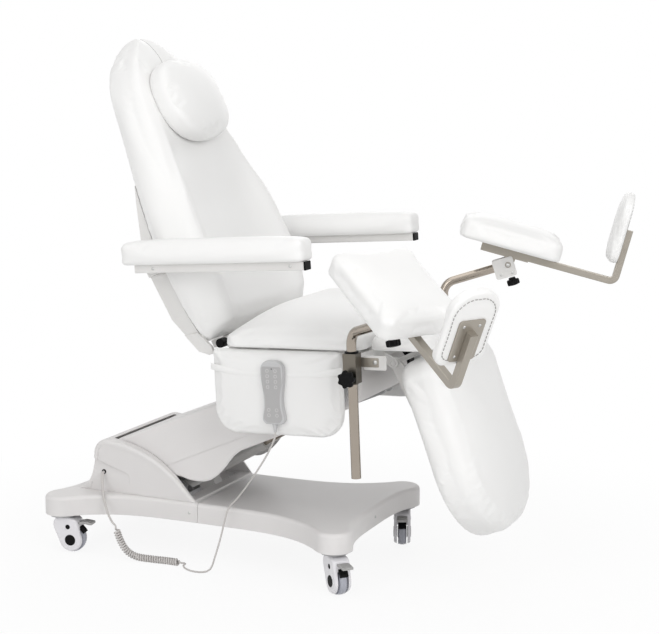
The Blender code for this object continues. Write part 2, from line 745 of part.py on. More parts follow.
for side in (-1, 1):
    near = side * UPRIGHT_Y - UPRIGHT_T / 2.0
    upright = hull(circle((ARM_PIVOT_X, ARM_PIVOT_Z), ARM_SHAFT_R + UPRIGHT_EYE, 12)
                   + [(ARM_PIVOT_X - UPRIGHT_FOOT_HALF, upright_foot),
                      (ARM_PIVOT_X + UPRIGHT_FOOT_HALF, upright_foot)])
    chassis.append(prism(upright, "y", near, near + UPRIGHT_T))
    lug = side * (LIFT_LUG_Y + LIFT_LUG_T / 2.0) - LIFT_LUG_T / 2.0
    chassis.append(prism(hull(circle((LIFT_MOTOR_X, LIFT_MOTOR_Z), LIFT_EYE_R, 12)
                              + [(LIFT_MOTOR_X - BEAM_HALF + LAP, lug_foot),
                                 (LIFT_MOTOR_X + BEAM_HALF - LAP, lug_foot)]), "y", lug, lug + LIFT_LUG_T))
chassis.append(block((CONTROL_BOX_X - BEAM_HALF, -CHASSIS_RAIL_Y, rail_low + 2.0 * LAP),
                     (CONTROL_BOX_X + BEAM_HALF, CHASSIS_RAIL_Y, tray_top)))
for x in (COVER_POST_REAR_X, COVER_POST_FRONT_X):
    for side in (-1, 1):
        chassis.append(drum("z", (x, side * CHASSIS_RAIL_Y), COVER_POST_R, rail_low + 5.0 * LAP,
                            BASE_TOP - BASE_WALL - SEAT_GAP, 6))
chassis_cuts = [drum("y", (ARM_PIVOT_X, ARM_PIVOT_Z), ARM_SHAFT_R + PIN_GAP, -FAR, FAR, 16),
                drum("y", (ARM_PIVOT_X, ARM_PIVOT_Z - LINK_DROP), LINK_PIN_R + PIN_GAP,
                     UPRIGHT_Y - UPRIGHT_T, UPRIGHT_Y + UPRIGHT_T, 16),
                drum("y", (LIFT_MOTOR_X, LIFT_MOTOR_Z), LINK_PIN_R + PIN_GAP, -FAR, FAR, 16)]
body("base_frame", floor_frame, GREY_STEEL, chassis, chassis_cuts)

box_foot = tray_top + SEAT_GAP
body("control_box", floor_frame, BLACK_PLASTIC,
     [prism(rounded((CONTROL_BOX_X - CONTROL_BOX[0] / 2.0, -CONTROL_BOX[1] / 2.0),
                    (CONTROL_BOX_X + CONTROL_BOX[0] / 2.0, CONTROL_BOX[1] / 2.0), CONTROL_BOX_R, 2),
            "z", box_foot, box_foot + CONTROL_BOX[2])])


# Casters: swivelling shell, wheel and brake pedal
def caster(corner, x, y):
    """One caster under a corner; its own frame has the stem's axis at the origin and trails along +X."""
    swivel = empty(f"caster_{corner}_axis", floor_frame, (x, y, 0.0), 0.0, CASTER_TURN_DEG[corner])
    half_shell = CASTER_SHELL_W / 2.0
    half_slot = CASTER_SLOT_W / 2.0
    crown_z = CASTER_H - CASTER_STEM_H
    side = hull(circle((CASTER_TRAIL, WHEEL_R), CASTER_SHELL_R, 16)
                + arc((CASTER_BROW_X, crown_z - CASTER_BROW_DOWN), CASTER_BROW_R, 90.0, 200.0, 4)
                + arc((CASTER_TRAIL, crown_z - CASTER_BROW_R), CASTER_BROW_R, 40.0, 75.0, 2))
    axle_reach = half_shell + AXLE_STANDS
    axle = drum("y", (CASTER_TRAIL, WHEEL_R), AXLE_R, -axle_reach, axle_reach, 10)
    stem = drum("z", (0.0, 0.0), CASTER_STEM_R, crown_z - 4.0 * LAP, CASTER_H, 12)
    hinge_lug = block((CASTER_TRAIL + 4.0 * LAP, -PEDAL_W / 4.0, PEDAL_HINGE_Z - PEDAL_LUG_HALF),
                      (PEDAL_HINGE_X - PEDAL_PIN_R - PIN_GAP, PEDAL_W / 4.0, PEDAL_HINGE_Z + PEDAL_LUG_HALF))
    slot = drum("y", (CASTER_TRAIL, WHEEL_R), CASTER_SLOT_R, -half_slot, half_slot, 16)
    body(f"caster_{corner}_shell", swivel, CASTER_SHELL,
         [prism(side, "y", -half_shell, half_shell), axle, stem, hinge_lug], [slot])

    half_wheel = WHEEL_W / 2.0
    hub = half_slot - SEAT_GAP
    facet = 180.0 / WHEEL_SIDES
    rim = WHEEL_R / math.cos(math.radians(facet))
    wall = rim - TYRE_CHAMFER
    tread = half_wheel - TYRE_CHAMFER
    tyre = ((0.0, -hub), (HUB_SHARE * rim, -hub), (wall, -half_wheel), (rim, -tread), (rim, tread),
            (wall, half_wheel), (HUB_SHARE * rim, hub), (0.0, hub))
    spin = empty(f"caster_{corner}_axle", swivel, (CASTER_TRAIL, 0.0, WHEEL_R))
    body(f"caster_{corner}_wheel", spin, WHEEL_GREY, [lathe(tyre, "y", (0.0, 0.0), WHEEL_SIDES, facet - 90.0)])

    foot = empty(f"caster_{corner}_pedal_axis", swivel, (PEDAL_HINGE_X, 0.0, PEDAL_HINGE_Z))
    half_pedal = PEDAL_W / 2.0
    step = [(-PEDAL_PIN_R, PEDAL_PIN_R / 2.0), (PEDAL_CREST_X, PEDAL_CREST_Z), (PEDAL_LENGTH, PEDAL_TIP_Z),
            (PEDAL_LENGTH, PEDAL_TIP_Z - PEDAL_T), (PEDAL_CREST_X, PEDAL_CREST_Z - PEDAL_T),
            (PEDAL_PIN_R / 2.0, -PEDAL_PIN_R), (-PEDAL_PIN_R, -PEDAL_PIN_R)]
    body(f"caster_{corner}_pedal", foot, PEDAL_GREY, [prism(step, "y", -half_pedal, half_pedal)])


for end, x in (("rear", -caster_x), ("front", caster_x)):
    for hand, y in (("right", -caster_y), ("left", caster_y)):
        caster(f"{end}_{hand}", x, y)


# Lift arm: twin bars, cover, levelling link and the head that carries the seat
half_bar = ARM_BAR_H / 2.0
cover_inner = ARM_COVER_HALF_W - ARM_COVER_WALL
arm_shapes = []
for side in (-1, 1):
    near = side * ARM_BAR_Y - ARM_BAR_T / 2.0
    arm_shapes.append(prism(hull(circle((0.0, 0.0), half_bar, 12) + circle((ARM_LENGTH, 0.0), half_bar, 12)),
                            "y", near, near + ARM_BAR_T))
shaft_reach = UPRIGHT_Y + UPRIGHT_T / 2.0
tie_reach = cover_inner - SEAT_GAP
arm_shapes.append(drum("y", (0.0, 0.0), ARM_SHAFT_R, -shaft_reach, shaft_reach, 16))
head_reach = HEAD_CHEEK_Y + HEAD_CHEEK_T / 2.0
arm_shapes.append(drum("y", (ARM_LENGTH, 0.0), ARM_SHAFT_R, -head_reach, head_reach, 16))
for share in ARM_TIES:
    arm_shapes.append(drum("y", (ARM_LENGTH * share, ARM_TIE_Z), ARM_TIE_R, -tie_reach, tie_reach, 8))
for side in (-1, 1):
    lug = side * (LIFT_LUG_Y + LIFT_LUG_T / 2.0) - LIFT_LUG_T / 2.0
    arm_shapes.append(prism(hull(circle((LIFT_EYE_X, LIFT_EYE_Z), LIFT_EYE_R, 8)
                                 + circle((LIFT_EYE_X, 0.0), BEAM_HALF, 8)), "y", lug, lug + LIFT_LUG_T))
arm_shapes.append(block((LIFT_EYE_X - LIFT_BEAM_HALF, -ARM_BAR_Y, 2.0 * LAP - LIFT_BEAM_HALF),
                        (LIFT_EYE_X + LIFT_BEAM_HALF, ARM_BAR_Y, LIFT_BEAM_HALF)))
body("lift_arm", arm_frame, GREY_STEEL, arm_shapes)


def cover_side(inset):
    """The arm cover from the side: round tail and nose, with a skirt that hangs below the middle."""
    tail_r = ARM_COVER_REAR_R - inset
    nose_r = ARM_COVER_NOSE_R - inset
    belly = -ARM_SKIRT_DROP + inset
    upper = arc((0.0, 0.0), tail_r, 180.0, 92.0, 8) + arc((ARM_LENGTH, 0.0), nose_r, 88.0, -80.0, 10)
    skirt = [(ARM_LENGTH * 0.50, -nose_r - 0.004), (ARM_SKIRT_X + 0.105, belly + 0.038),
             (ARM_SKIRT_X + 0.050, belly + 0.010), (ARM_SKIRT_X, belly), (ARM_SKIRT_X - 0.050, belly + 0.018),
             (ARM_SKIRT_X - 0.090, belly + 0.044), (0.030, -0.045), (-0.040, -0.030)]
    return upper + skirt


cover_room = prism(cover_side(ARM_COVER_WALL), "y", -cover_inner, cover_inner)
slot_front = ARM_LENGTH + 0.5 * ARM_COVER_NOSE_R
slot_rear = -2.0 * ARM_COVER_REAR_R
slot_foot = -3.0 * ARM_SKIRT_DROP
cover_slot = prism([(slot_rear, 0.006), (-0.020, 0.006), (0.030, -0.025), (slot_front, -0.020),
                    (slot_front, slot_foot), (slot_rear, slot_foot)], "y", -cover_inner, cover_inner)
cover_bore = drum("y", (ARM_LENGTH, 0.0), ARM_SHAFT_R + PIN_GAP, -FAR, FAR, 16)
body("arm_cover", arm_frame, COVER_PLASTIC,
     [prism(cover_side(0.0), "y", -ARM_COVER_HALF_W, ARM_COVER_HALF_W)], [cover_room, cover_slot, cover_bore])

link_axis = empty("link_axis", floor_frame, (ARM_PIVOT_X, 0.0, ARM_PIVOT_Z - LINK_DROP), ARM_ANGLE_DEG)
link_y = UPRIGHT_Y - UPRIGHT_T / 2.0 - SIDE_GAP - LINK_T
body("level_link", link_axis, GREY_STEEL,
     [prism(hull(circle((0.0, 0.0), LINK_H / 2.0, 12) + circle((ARM_LENGTH, 0.0), LINK_H / 2.0, 12)), "y",
            link_y, link_y + LINK_T),
      drum("y", (0.0, 0.0), LINK_PIN_R, link_y + LINK_T / 2.0, UPRIGHT_Y + UPRIGHT_T / 2.0, 16)],
     [drum("y", (ARM_LENGTH, 0.0), LINK_PIN_R, -FAR, FAR, 12)])

tilt_x = TILT_X - HEAD_X
tilt_z = TILT_Z - HEAD_Z
head_shapes = []
for side in (-1, 1):
    near = side * HEAD_CHEEK_Y - HEAD_CHEEK_T / 2.0
    cheek = hull(circle((0.0, 0.0), HEAD_BOSS_R, 16) + circle((tilt_x, tilt_z), HEAD_EYE_R, 12)
                 + circle((0.0, -LINK_DROP), HEAD_EYE_R, 12))
    head_shapes.append(prism(cheek, "y", near, near + HEAD_CHEEK_T))
rod_reach = SEAT_RAIL_Y + SEAT_RAIL_W / 2.0
head_shapes.append(drum("y", (tilt_x, tilt_z), HEAD_ROD_R, -rod_reach, rod_reach, 16))
body("lift_head", head_frame, GREY_STEEL, head_shapes,
     [drum("y", (0.0, 0.0), ARM_SHAFT_R + PIN_GAP, -FAR, FAR, 16)])

eye = Vector((ARM_PIVOT_X + LIFT_EYE_X * math.cos(arm_rise) - LIFT_EYE_Z * math.sin(arm_rise),
              ARM_PIVOT_Z + LIFT_EYE_X * math.sin(arm_rise) + LIFT_EYE_Z * math.cos(arm_rise)))
thrust = eye - Vector((LIFT_MOTOR_X, LIFT_MOTOR_Z))
lift_motor_axis = empty("lift_motor_axis", floor_frame, (LIFT_MOTOR_X, 0.0, LIFT_MOTOR_Z),
                        math.degrees(math.atan2(thrust.y, thrust.x)))
lug_room = LIFT_LUG_Y - SEAT_GAP
rod_tip = thrust.length
gear = rounded((LIFT_GEAR_X, -LIFT_GEAR_DROP), (LIFT_GEAR_X + LIFT_GEAR_L, -LIFT_ROD_R), CONTROL_BOX_R, 2)
body("lift_actuator", lift_motor_axis, BLACK_PLASTIC,
     [drum("x", (0.0, 0.0), LIFT_TUBE_R, LIFT_TUBE_START, LIFT_TUBE_LENGTH, 16),
      drum("y", (0.0, 0.0), LINK_PIN_R, -LIFT_LUG_Y - LIFT_LUG_T, LIFT_LUG_Y + LIFT_LUG_T, 16),
      block((-LIFT_ROD_R, -lug_room, -LIFT_ROD_R), (2.0 * LIFT_TUBE_START, lug_room, LIFT_ROD_R)),
      prism(gear, "y", LIFT_LUG_T, LIFT_LUG_T + LIFT_GEAR_W)],
     [drum("x", (0.0, 0.0), LIFT_ROD_R + PIN_GAP, LIFT_TUBE_LENGTH / 5.0, FAR, 16)])
body("lift_rod", lift_motor_axis, STAINLESS,
     [drum("x", (0.0, 0.0), LIFT_ROD_R, LIFT_TUBE_LENGTH * LIFT_ROD_IN, rod_tip - LINK_PIN_R / 2.0, 16),
      block((rod_tip - LIFT_ROD_R - 4.0 * LAP, -lug_room, -LINK_PIN_R),
            (rod_tip + LINK_PIN_R, lug_room, LINK_PIN_R))])

# Seat: frame with lugs and post sockets, cushion and side aprons
rail_top = SEAT_RAIL_BASE + SEAT_RAIL_H
half_rail = SEAT_RAIL_W / 2.0
apron_inner = SEAT_HALF_W - APRON_T
frame_rear = BACK_HINGE_X + 0.030
frame_front = LEG_HINGE_X - 0.022
frame_shapes = []
for side in (-1, 1):
    frame_shapes.append(block((frame_rear, side * SEAT_RAIL_Y - half_rail, SEAT_RAIL_BASE),
                              (frame_front, side * SEAT_RAIL_Y + half_rail, rail_top)))
    near = side * (HEAD_CHEEK_Y + HEAD_CHEEK_T / 2.0 + SIDE_GAP + HEAD_ROD_R) - HEAD_ROD_R
    lug_root = SEAT_RAIL_BASE + 4.0 * LAP
    tilt_lug = hull(circle((0.0, 0.0), SEAT_LUG_R, 16)
                    + [(-SEAT_LUG_FOOT, lug_root), (SEAT_LUG_FOOT, lug_root)])
    frame_shapes.append(prism(tilt_lug, "y", near, near + 2.0 * HEAD_ROD_R))
    outer = side * (BACK_LUG_Y + BACK_LUG_T + SIDE_GAP + BACK_LUG_T / 2.0) - BACK_LUG_T / 2.0
    root = frame_rear + SEAT_BAR_HALF
    back_lug = hull(circle((BACK_HINGE_X, BACK_HINGE_Z), HINGE_EYE_R, 12)
                    + [(root, SEAT_RAIL_BASE + 3.0 * LAP), (root, SEAT_RAIL_BASE + 13.0 * LAP)])
    frame_shapes.append(prism(back_lug, "y", outer, outer + BACK_LUG_T))
    outer = side * (LEG_ARM_Y + LEG_ARM_T + SIDE_GAP + BACK_LUG_T / 2.0) - BACK_LUG_T / 2.0
    root = frame_front - SEAT_RAIL_BASE
    leg_lug = hull(circle((LEG_HINGE_X, LEG_HINGE_Z), HINGE_EYE_R, 12)
                   + [(root, SEAT_RAIL_BASE + 6.0 * LAP), (root, SEAT_RAIL_BASE - SEAT_BAR_HALF)])
    frame_shapes.append(prism(leg_lug, "y", outer, outer + BACK_LUG_T))
    frame_shapes.append(block((POST_X - SOCKET_W / 2.0, side * POST_Y - SOCKET_W / 2.0, SOCKET_FOOT),
                              (POST_X + SOCKET_W / 2.0, side * POST_Y + SOCKET_W / 2.0, SOCKET_TOP)))
bar_reach = apron_inner - SEAT_GAP
for x in SEAT_BARS:
    frame_shapes.append(block((x - SEAT_BAR_HALF, -bar_reach, SEAT_RAIL_BASE + 2.0 * LAP),
                              (x + SEAT_BAR_HALF, bar_reach, rail_top - 2.0 * LAP)))
front_low = SEAT_RAIL_BASE - SEAT_BAR_HALF - 2.0 * LAP
frame_shapes.append(block((frame_front - 2.0 * SEAT_BAR_HALF, -POST_Y, front_low),
                          (frame_front - 2.0 * LAP, POST_Y, rail_top - 6.0 * LAP)))
motor_z = BACK_HINGE_Z - BACK_LEVER_R * math.cos(math.radians(BACK_LEVER_DEG))
strap_x = SEAT_BARS[-1]
strap_low = motor_z + BACK_TUBE_R + SEAT_GAP
frame_shapes.append(block((strap_x - BACK_STRAP_HALF, BACK_MOTOR_Y - BACK_STRAP_HALF, strap_low),
                          (strap_x + BACK_STRAP_HALF, BACK_MOTOR_Y + BACK_STRAP_HALF,
                           SEAT_RAIL_BASE + 6.0 * LAP)))
bush_hole_r = BUSH_R + PIN_GAP
seat_cuts = [drum("y", (0.0, 0.0), HEAD_ROD_R + PIN_GAP, -FAR, FAR, 16),
             drum("y", (BACK_HINGE_X, BACK_HINGE_Z), BACK_PIN_R + PIN_GAP, -FAR, FAR, 16),
             drum("y", (LEG_HINGE_X, LEG_HINGE_Z), LEG_PIN_R + PIN_GAP, -FAR, FAR, 16)]
for side in (-1, 1):
    seat_cuts.append(drum("z", (POST_X, side * POST_Y), bush_hole_r, 2.0 * SOCKET_FOOT, 2.0 * SOCKET_TOP, 16))
body("seat_frame", seat_frame_axis, WHITE_PAINT, frame_shapes, seat_cuts)


def seat_shape(x, y, z):
    """Lower the seat's top towards the back."""
    share = min(max((x - SEAT_REAR) / SEAT_RISE_RUN, 0.0), 1.0)
    return (x, y, z * (SEAT_REAR_SHARE + (1.0 - SEAT_REAR_SHARE) * share * (2.0 - share)))


cushion_base = rail_top + SEAT_GAP
cushion("seat_cushion", seat_frame_axis, UPHOLSTERY,
        pad_outline(SEAT_REAR, SEAT_FRONT, SEAT_HALF_W, SEAT_CORNER_R, SEAT_PULL, side_steps=5),
        SEAT_EDGE_H, SEAT_EDGE_R, SEAT_CROWN, 3.0 * LAP, Matrix.Translation((0.0, 0.0, cushion_base)),
        seat_shape, rows=((0.78, 0.48), (0.52, 0.82), (0.26, 0.96)))

apron_top = rail_top - SEAT_GAP
for hand, side in (("right", -1), ("left", 1)):
    outline = (arc((APRON_FRONT - APRON_CORNER_R, -APRON_DROP + APRON_CORNER_R), APRON_CORNER_R, -90, 0, 5)
               + arc((APRON_FRONT - APRON_TOP_R, apron_top - APRON_TOP_R), APRON_TOP_R, 0, 90, 2)
               + arc((APRON_REAR + APRON_TOP_R, apron_top - APRON_TOP_R), APRON_TOP_R, 90, 180, 2)
               + arc((APRON_REAR + APRON_CORNER_R, -APRON_DROP + APRON_CORNER_R), APRON_CORNER_R, 180, 270, 5))
    middle = Vector(((APRON_FRONT + APRON_REAR) / 2.0, (apron_top - APRON_DROP) / 2.0))
    stand = Matrix(((1, 0, 0, 0), (0, 0, side, side * apron_inner), (0, 1, 0, 0), (0, 0, 0, 1)))
    cushion(f"apron_{hand}", seat_frame_axis, UPHOLSTERY, (outline, middle), APRON_T - APRON_CROWN,
            APRON_EDGE_R, APRON_CROWN, LAP, stand)

# Back actuator under the seat and its rod
gear_front = BACK_TUBE_FRONT + 6.0 * LAP
gear = rounded((BACK_GEAR_X, motor_z - BACK_GEAR_DROP), (gear_front, motor_z), CONTROL_BOX_R, 2)
body("back_actuator", seat_frame_axis, BLACK_PLASTIC,
     [drum("x", (BACK_MOTOR_Y, motor_z), BACK_TUBE_R, BACK_TUBE_REAR, BACK_TUBE_FRONT, 16),
      prism(gear, "y", BACK_MOTOR_Y - BACK_TUBE_R, BACK_MOTOR_Y + BACK_TUBE_R - LAP)],
     [drum("x", (BACK_MOTOR_Y, motor_z), BACK_ROD_R + PIN_GAP, -FAR, BACK_BORE_END, 16)])
lever_back = BACK_LEVER_R * math.sin(math.radians(BACK_LEVER_DEG))
rod_end = BACK_HINGE_X - lever_back
body("back_rod", seat_frame_axis, STAINLESS,
     [drum("x", (BACK_MOTOR_Y, motor_z), BACK_ROD_R, rod_end, BACK_TUBE_REAR + BACK_ROD_IN, 16),
      block((rod_end - BACK_EYE_HALF, BACK_MOTOR_Y - BACK_CLEVIS_HALF, motor_z - BACK_EYE_HALF),
            (rod_end + BACK_CLEVIS_HALF, BACK_MOTOR_Y + BACK_CLEVIS_HALF, motor_z + BACK_EYE_HALF))])

# Backrest: frame, rear shell, bolstered cushion and pillow
# Half width and bolster height up the back, from the hinge to the top
BACK_WIDTHS = ((0.00, 0.226), (0.05, 0.266), (0.15, 0.292), (0.30, 0.292), (0.45, 0.261), (0.60, 0.218),
               (0.74, 0.177), (0.81, 0.128), (0.858, 0.074), (0.888, 0.030))
BACK_FACES = ((0.05, 0.030, 0.030), (0.20, 0.032, 0.046), (0.36, 0.038, 0.042), (0.52, 0.058, 0.014),
              (0.64, 0.064, 0.002), (0.888, 0.060, 0.0))


def along(table, u, column):
    """A smooth reading of a short table of stations."""
    for low, high in zip(table, table[1:]):
        if u <= high[0]:
            share = min(max((u - low[0]) / (high[0] - low[0]), 0.0), 1.0)
            share = share * share * (3.0 - 2.0 * share) if column > 1 else share
            return low[column] + (high[column] - low[column]) * share
    return table[-1][column]


def back_section(u, plump):
    """The cushion cut across at height u: flat rear, full sides, two bolsters and a hollow between."""
    half = along(BACK_WIDTHS, u, 1)
    face = along(BACK_FACES, u, 1)
    bolster = along(BACK_FACES, u, 2)
    profile = ((0.0, face), (0.42, face + 0.05 * bolster), (0.62, face + 0.45 * bolster),
               (0.78, face + bolster), (0.90, face + 0.82 * bolster), (0.975, face + 0.25 * bolster - 0.010),
               (1.0, face - 0.030), (0.975, BACK_REAR_V + 0.008), (0.94, BACK_REAR_V), (0.40, BACK_REAR_V))
    still = BACK_REAR_V if u < BACK_CROWN_U else (face + BACK_REAR_V) / 2.0
    right = [(p * half, still + (v - still) * plump) for p, v in profile]
    left = [(-y, v) for y, v in reversed(right[1:])]
    return [(v, y, u) for y, v in right + left]


cushion_stations = ((0.0, 0.30), (0.010, 0.62), (0.030, 0.88), (0.070, 1.0), (0.130, 1.0), (0.210, 1.0),
                    (0.290, 1.0), (0.370, 1.0), (0.450, 1.0), (0.530, 1.0), (0.610, 1.0), (0.690, 1.0),
                    (0.752, 0.98), (0.798, 0.86), (0.822, 0.66), (0.834, 0.38))
back_rings = [back_section(BACK_CUSHION_FOOT + up, plump) for up, plump in cushion_stations]
body("back_cushion", back_frame_axis, UPHOLSTERY, [skin(back_rings)])

shell_front = BACK_REAR_V - BACK_SHELL_GAP
shell_rings = []
for u, belly in ((0.024, 0.35), (0.055, 0.72), (0.110, 1.0), (0.240, 1.0), (0.330, 0.66), (0.420, 0.16),
                 (BACK_SHELL_TOP, -0.20)):
    half = along(BACK_WIDTHS, u, 1) - BACK_SHELL_IN
    flat = BACK_SHELL_FLAT * half
    rear = shell_front - BACK_SHELL_T - BACK_SHELL_BELLY * belly
    edge = rear + BACK_SHELL_IN
    shell_rings.append([(shell_front, -half, u), (shell_front, half, u), (edge, half, u),
                        (rear, flat, u), (rear, -flat, u), (edge, -half, u)])
bar_rear = shell_front - BACK_BAR_T - SEAT_GAP
shell_cuts = []
for side in (-1, 1):
    low_y = side * BACK_BAR_Y - BACK_BAR_W / 2.0 - SEAT_GAP
    shell_cuts.append(block((bar_rear - SEAT_GAP, low_y, -FAR),
                            (FAR, low_y + BACK_BAR_W + 2.0 * SEAT_GAP, BACK_BAR_TOP + SEAT_GAP)))
cross_low = ARMREST_PIVOT_U - BACK_CROSS_HALF
cross_high = ARMREST_PIVOT_U + BACK_CROSS_HALF
shell_cuts.append(block((bar_rear - SEAT_GAP, -FAR, cross_low - SEAT_GAP), (FAR, FAR, cross_high + SEAT_GAP)))
tail_ears = []
for side in (-1, 1):
    low_y = side * (BACK_TAIL_Y + BACK_TAIL_T / 2.0) - BACK_TAIL_T / 2.0
    ear = [(shell_front, 0.050), (shell_front - 0.040, 0.060), (shell_front - 0.020, 0.004),
           (-0.036, -0.016), (-0.022, -0.018), (-0.020, 0.0)]
    tail_ears.append(prism(ear, "y", low_y, low_y + BACK_TAIL_T))
body("back_shell", back_frame_axis, WHITE_PAINT, [skin(shell_rings), *tail_ears], shell_cuts)

armrest_inner = ARMREST_Y - ARMREST_RAIL_W / 2.0
ear_outer = armrest_inner - SIDE_GAP
frame_shapes = []
for side in (-1, 1):
    low_y = side * BACK_BAR_Y - BACK_BAR_W / 2.0
    frame_shapes.append(block((bar_rear, low_y, -0.010), (shell_front, low_y + BACK_BAR_W, BACK_BAR_TOP)))
    low_y = side * (BACK_LUG_Y + BACK_LUG_T / 2.0) - BACK_LUG_T / 2.0
    lug = hull(circle((0.0, 0.0), BACK_LUG_EYE_R, 12) + [(bar_rear, 0.0), (bar_rear, BACK_FOOT_H)])
    frame_shapes.append(prism(lug, "y", low_y, low_y + BACK_LUG_T))
    low_y = side * (ear_outer - ARMREST_EAR_T / 2.0) - ARMREST_EAR_T / 2.0
    frame_shapes.append(prism(hull(circle((ARMREST_PIVOT_V, ARMREST_PIVOT_U), ARMREST_EAR_R, 12)
                                   + [(bar_rear, cross_low), (bar_rear, cross_high)]),
                              "y", low_y, low_y + ARMREST_EAR_T))
cross_reach = ear_outer - 2.0 * LAP
frame_shapes.append(block((bar_rear, -cross_reach, cross_low), (shell_front, cross_reach, cross_high)))
frame_shapes.append(block((bar_rear - LAP / 2.0, -BACK_LUG_Y - BACK_LUG_T, LAP),
                          (shell_front - 2.0 * LAP, BACK_MOTOR_Y + BACK_FOOT_H, BACK_FOOT_H)))
pin_reach = BACK_LUG_Y + 2.0 * BACK_LUG_T + SIDE_GAP
frame_shapes.append(drum("y", (0.0, 0.0), BACK_PIN_R, -pin_reach, pin_reach, 16))
lever_turn = math.radians(BACK_LEVER_DEG + BACK_RECLINE_DEG - SEAT_TILT_DEG)
lever_tip = (-BACK_LEVER_R * math.sin(lever_turn), -BACK_LEVER_R * math.cos(lever_turn))
for side in (-1, 1):
    low_y = BACK_MOTOR_Y + side * (BACK_CLEVIS_HALF + SIDE_GAP + BACK_LEVER_T / 2.0) - BACK_LEVER_T / 2.0
    lever = hull(circle(lever_tip, BACK_LEVER_EYE_R, 12)
                 + [(bar_rear, 0.002), (bar_rear, 0.018), (-0.020, 0.018), (-0.014, -0.010)])
    frame_shapes.append(prism(lever, "y", low_y, low_y + BACK_LEVER_T))
back_cuts = [drum("y", (ARMREST_PIVOT_V, ARMREST_PIVOT_U), ARMREST_PIN_R + PIN_GAP, -FAR, FAR, 16)]
body("back_frame", back_frame_axis, GREY_STEEL, frame_shapes, back_cuts)

pillow_plan = [(PILLOW_HALF_H * math.copysign(abs(math.cos(t)) ** PILLOW_SQUARE, math.cos(t)),
                PILLOW_HALF_W * math.copysign(abs(math.sin(t)) ** PILLOW_SQUARE, math.sin(t)))
               for t in (math.pi * n / 12.0 for n in range(24))]
pillow_face = along(BACK_FACES, PILLOW_U, 1) + PILLOW_OFF
pillow_stand = Matrix(((0, 0, 1, pillow_face), (0, 1, 0, 0), (1, 0, 0, PILLOW_U), (0, 0, 0, 1)))
cushion("headrest_pillow", back_frame_axis, UPHOLSTERY, (pillow_plan, Vector((0.0, 0.0))),
        PILLOW_T - PILLOW_CROWN, PILLOW_EDGE_R, PILLOW_CROWN, 0.0, pillow_stand)

# Armrests: rail, end on a pin in the backrest's ear, and pad
for hand, side in (("right", -1), ("left", 1)):
    pivot = empty(f"armrest_{hand}_axis", back_frame_axis, (ARMREST_PIVOT_V, 0.0, ARMREST_PIVOT_U),
                  ARMREST_TILT_DEG - BACK_RECLINE_DEG)
    low_y = side * ARMREST_Y - ARMREST_RAIL_W / 2.0
    half_h = ARMREST_RAIL_H / 2.0
    pin_in = side * (ear_outer - ARMREST_EAR_T - 2.0 * LAP)
    pin_out = side * ARMREST_Y
    pin = drum("y", (0.0, 0.0), ARMREST_PIN_R, min(pin_in, pin_out), max(pin_in, pin_out), 16)
    rail = block((ARMREST_RAIL_REAR, low_y, -half_h), (ARMREST_RAIL_FRONT, low_y + ARMREST_RAIL_W, half_h))
    body(f"armrest_{hand}_rail", pivot, WHITE_PAINT, [rail, pin])
    plan = pad_outline(ARMREST_PAD_REAR, ARMREST_PAD_FRONT, ARMREST_PAD_W / 2.0, ARMREST_CORNER_R, LAP,
                       side_steps=3)
    cushion(f"armrest_{hand}_pad", pivot, UPHOLSTERY, plan, ARMREST_PAD_T - ARMREST_CROWN, ARMREST_EDGE_R,
            ARMREST_CROWN, LAP, Matrix.Translation((0.0, side * ARMREST_Y, half_h + SEAT_GAP)))

# Leg rest: hinged frame and its long pad with a round foot end
arm_end = LEG_PAD_LENGTH * LEG_ARM_SHARE
arm_top = LEG_PAD_LIFT - 2.0 * LAP
board_half = LEG_PAD_HALF_W - LEG_BOARD_IN
leg_reach = LEG_ARM_Y + LEG_ARM_T + SIDE_GAP + BACK_LUG_T
leg_shapes = [drum("y", (0.0, 0.0), LEG_PIN_R, -leg_reach, leg_reach, 16)]
for side in (-1, 1):
    low_y = side * (LEG_ARM_Y + LEG_ARM_T / 2.0) - LEG_ARM_T / 2.0
    arm = hull(circle((0.0, 0.0), HINGE_EYE_R, 12)
               + [(LEG_BOARD_IN, arm_top), (arm_end, arm_top), (arm_end, arm_top - LEG_ARM_H)])
    leg_shapes.append(prism(arm, "y", low_y, low_y + LEG_ARM_T))
board = rounded((LEG_BOARD_R, -board_half), (LEG_PAD_LENGTH * LEG_BOARD_SHARE, board_half), LEG_BOARD_R, 3)
leg_shapes.append(prism(board, "z", LEG_PAD_LIFT - LEG_BOARD_T, LEG_PAD_LIFT))
body("leg_rest_frame", leg_frame_axis, WHITE_PAINT, leg_shapes)
leg_plan = pad_outline(LEG_PAD_REAR, LEG_PAD_LENGTH, LEG_PAD_HALF_W, LEG_PAD_CORNER_R, LEG_PAD_PULL,
                       far_r=LEG_PAD_HALF_W * LEG_PAD_ROUND, side_steps=5)
cushion("leg_rest_cushion", leg_frame_axis, UPHOLSTERY, leg_plan, LEG_PAD_T, LEG_PAD_EDGE_R, LEG_PAD_CROWN,
        2.0 * LAP, Matrix.Translation((0.0, 0.0, LEG_PAD_LIFT + SEAT_GAP)),
        rows=((0.82, 0.50), (0.58, 0.82), (0.30, 0.97)))


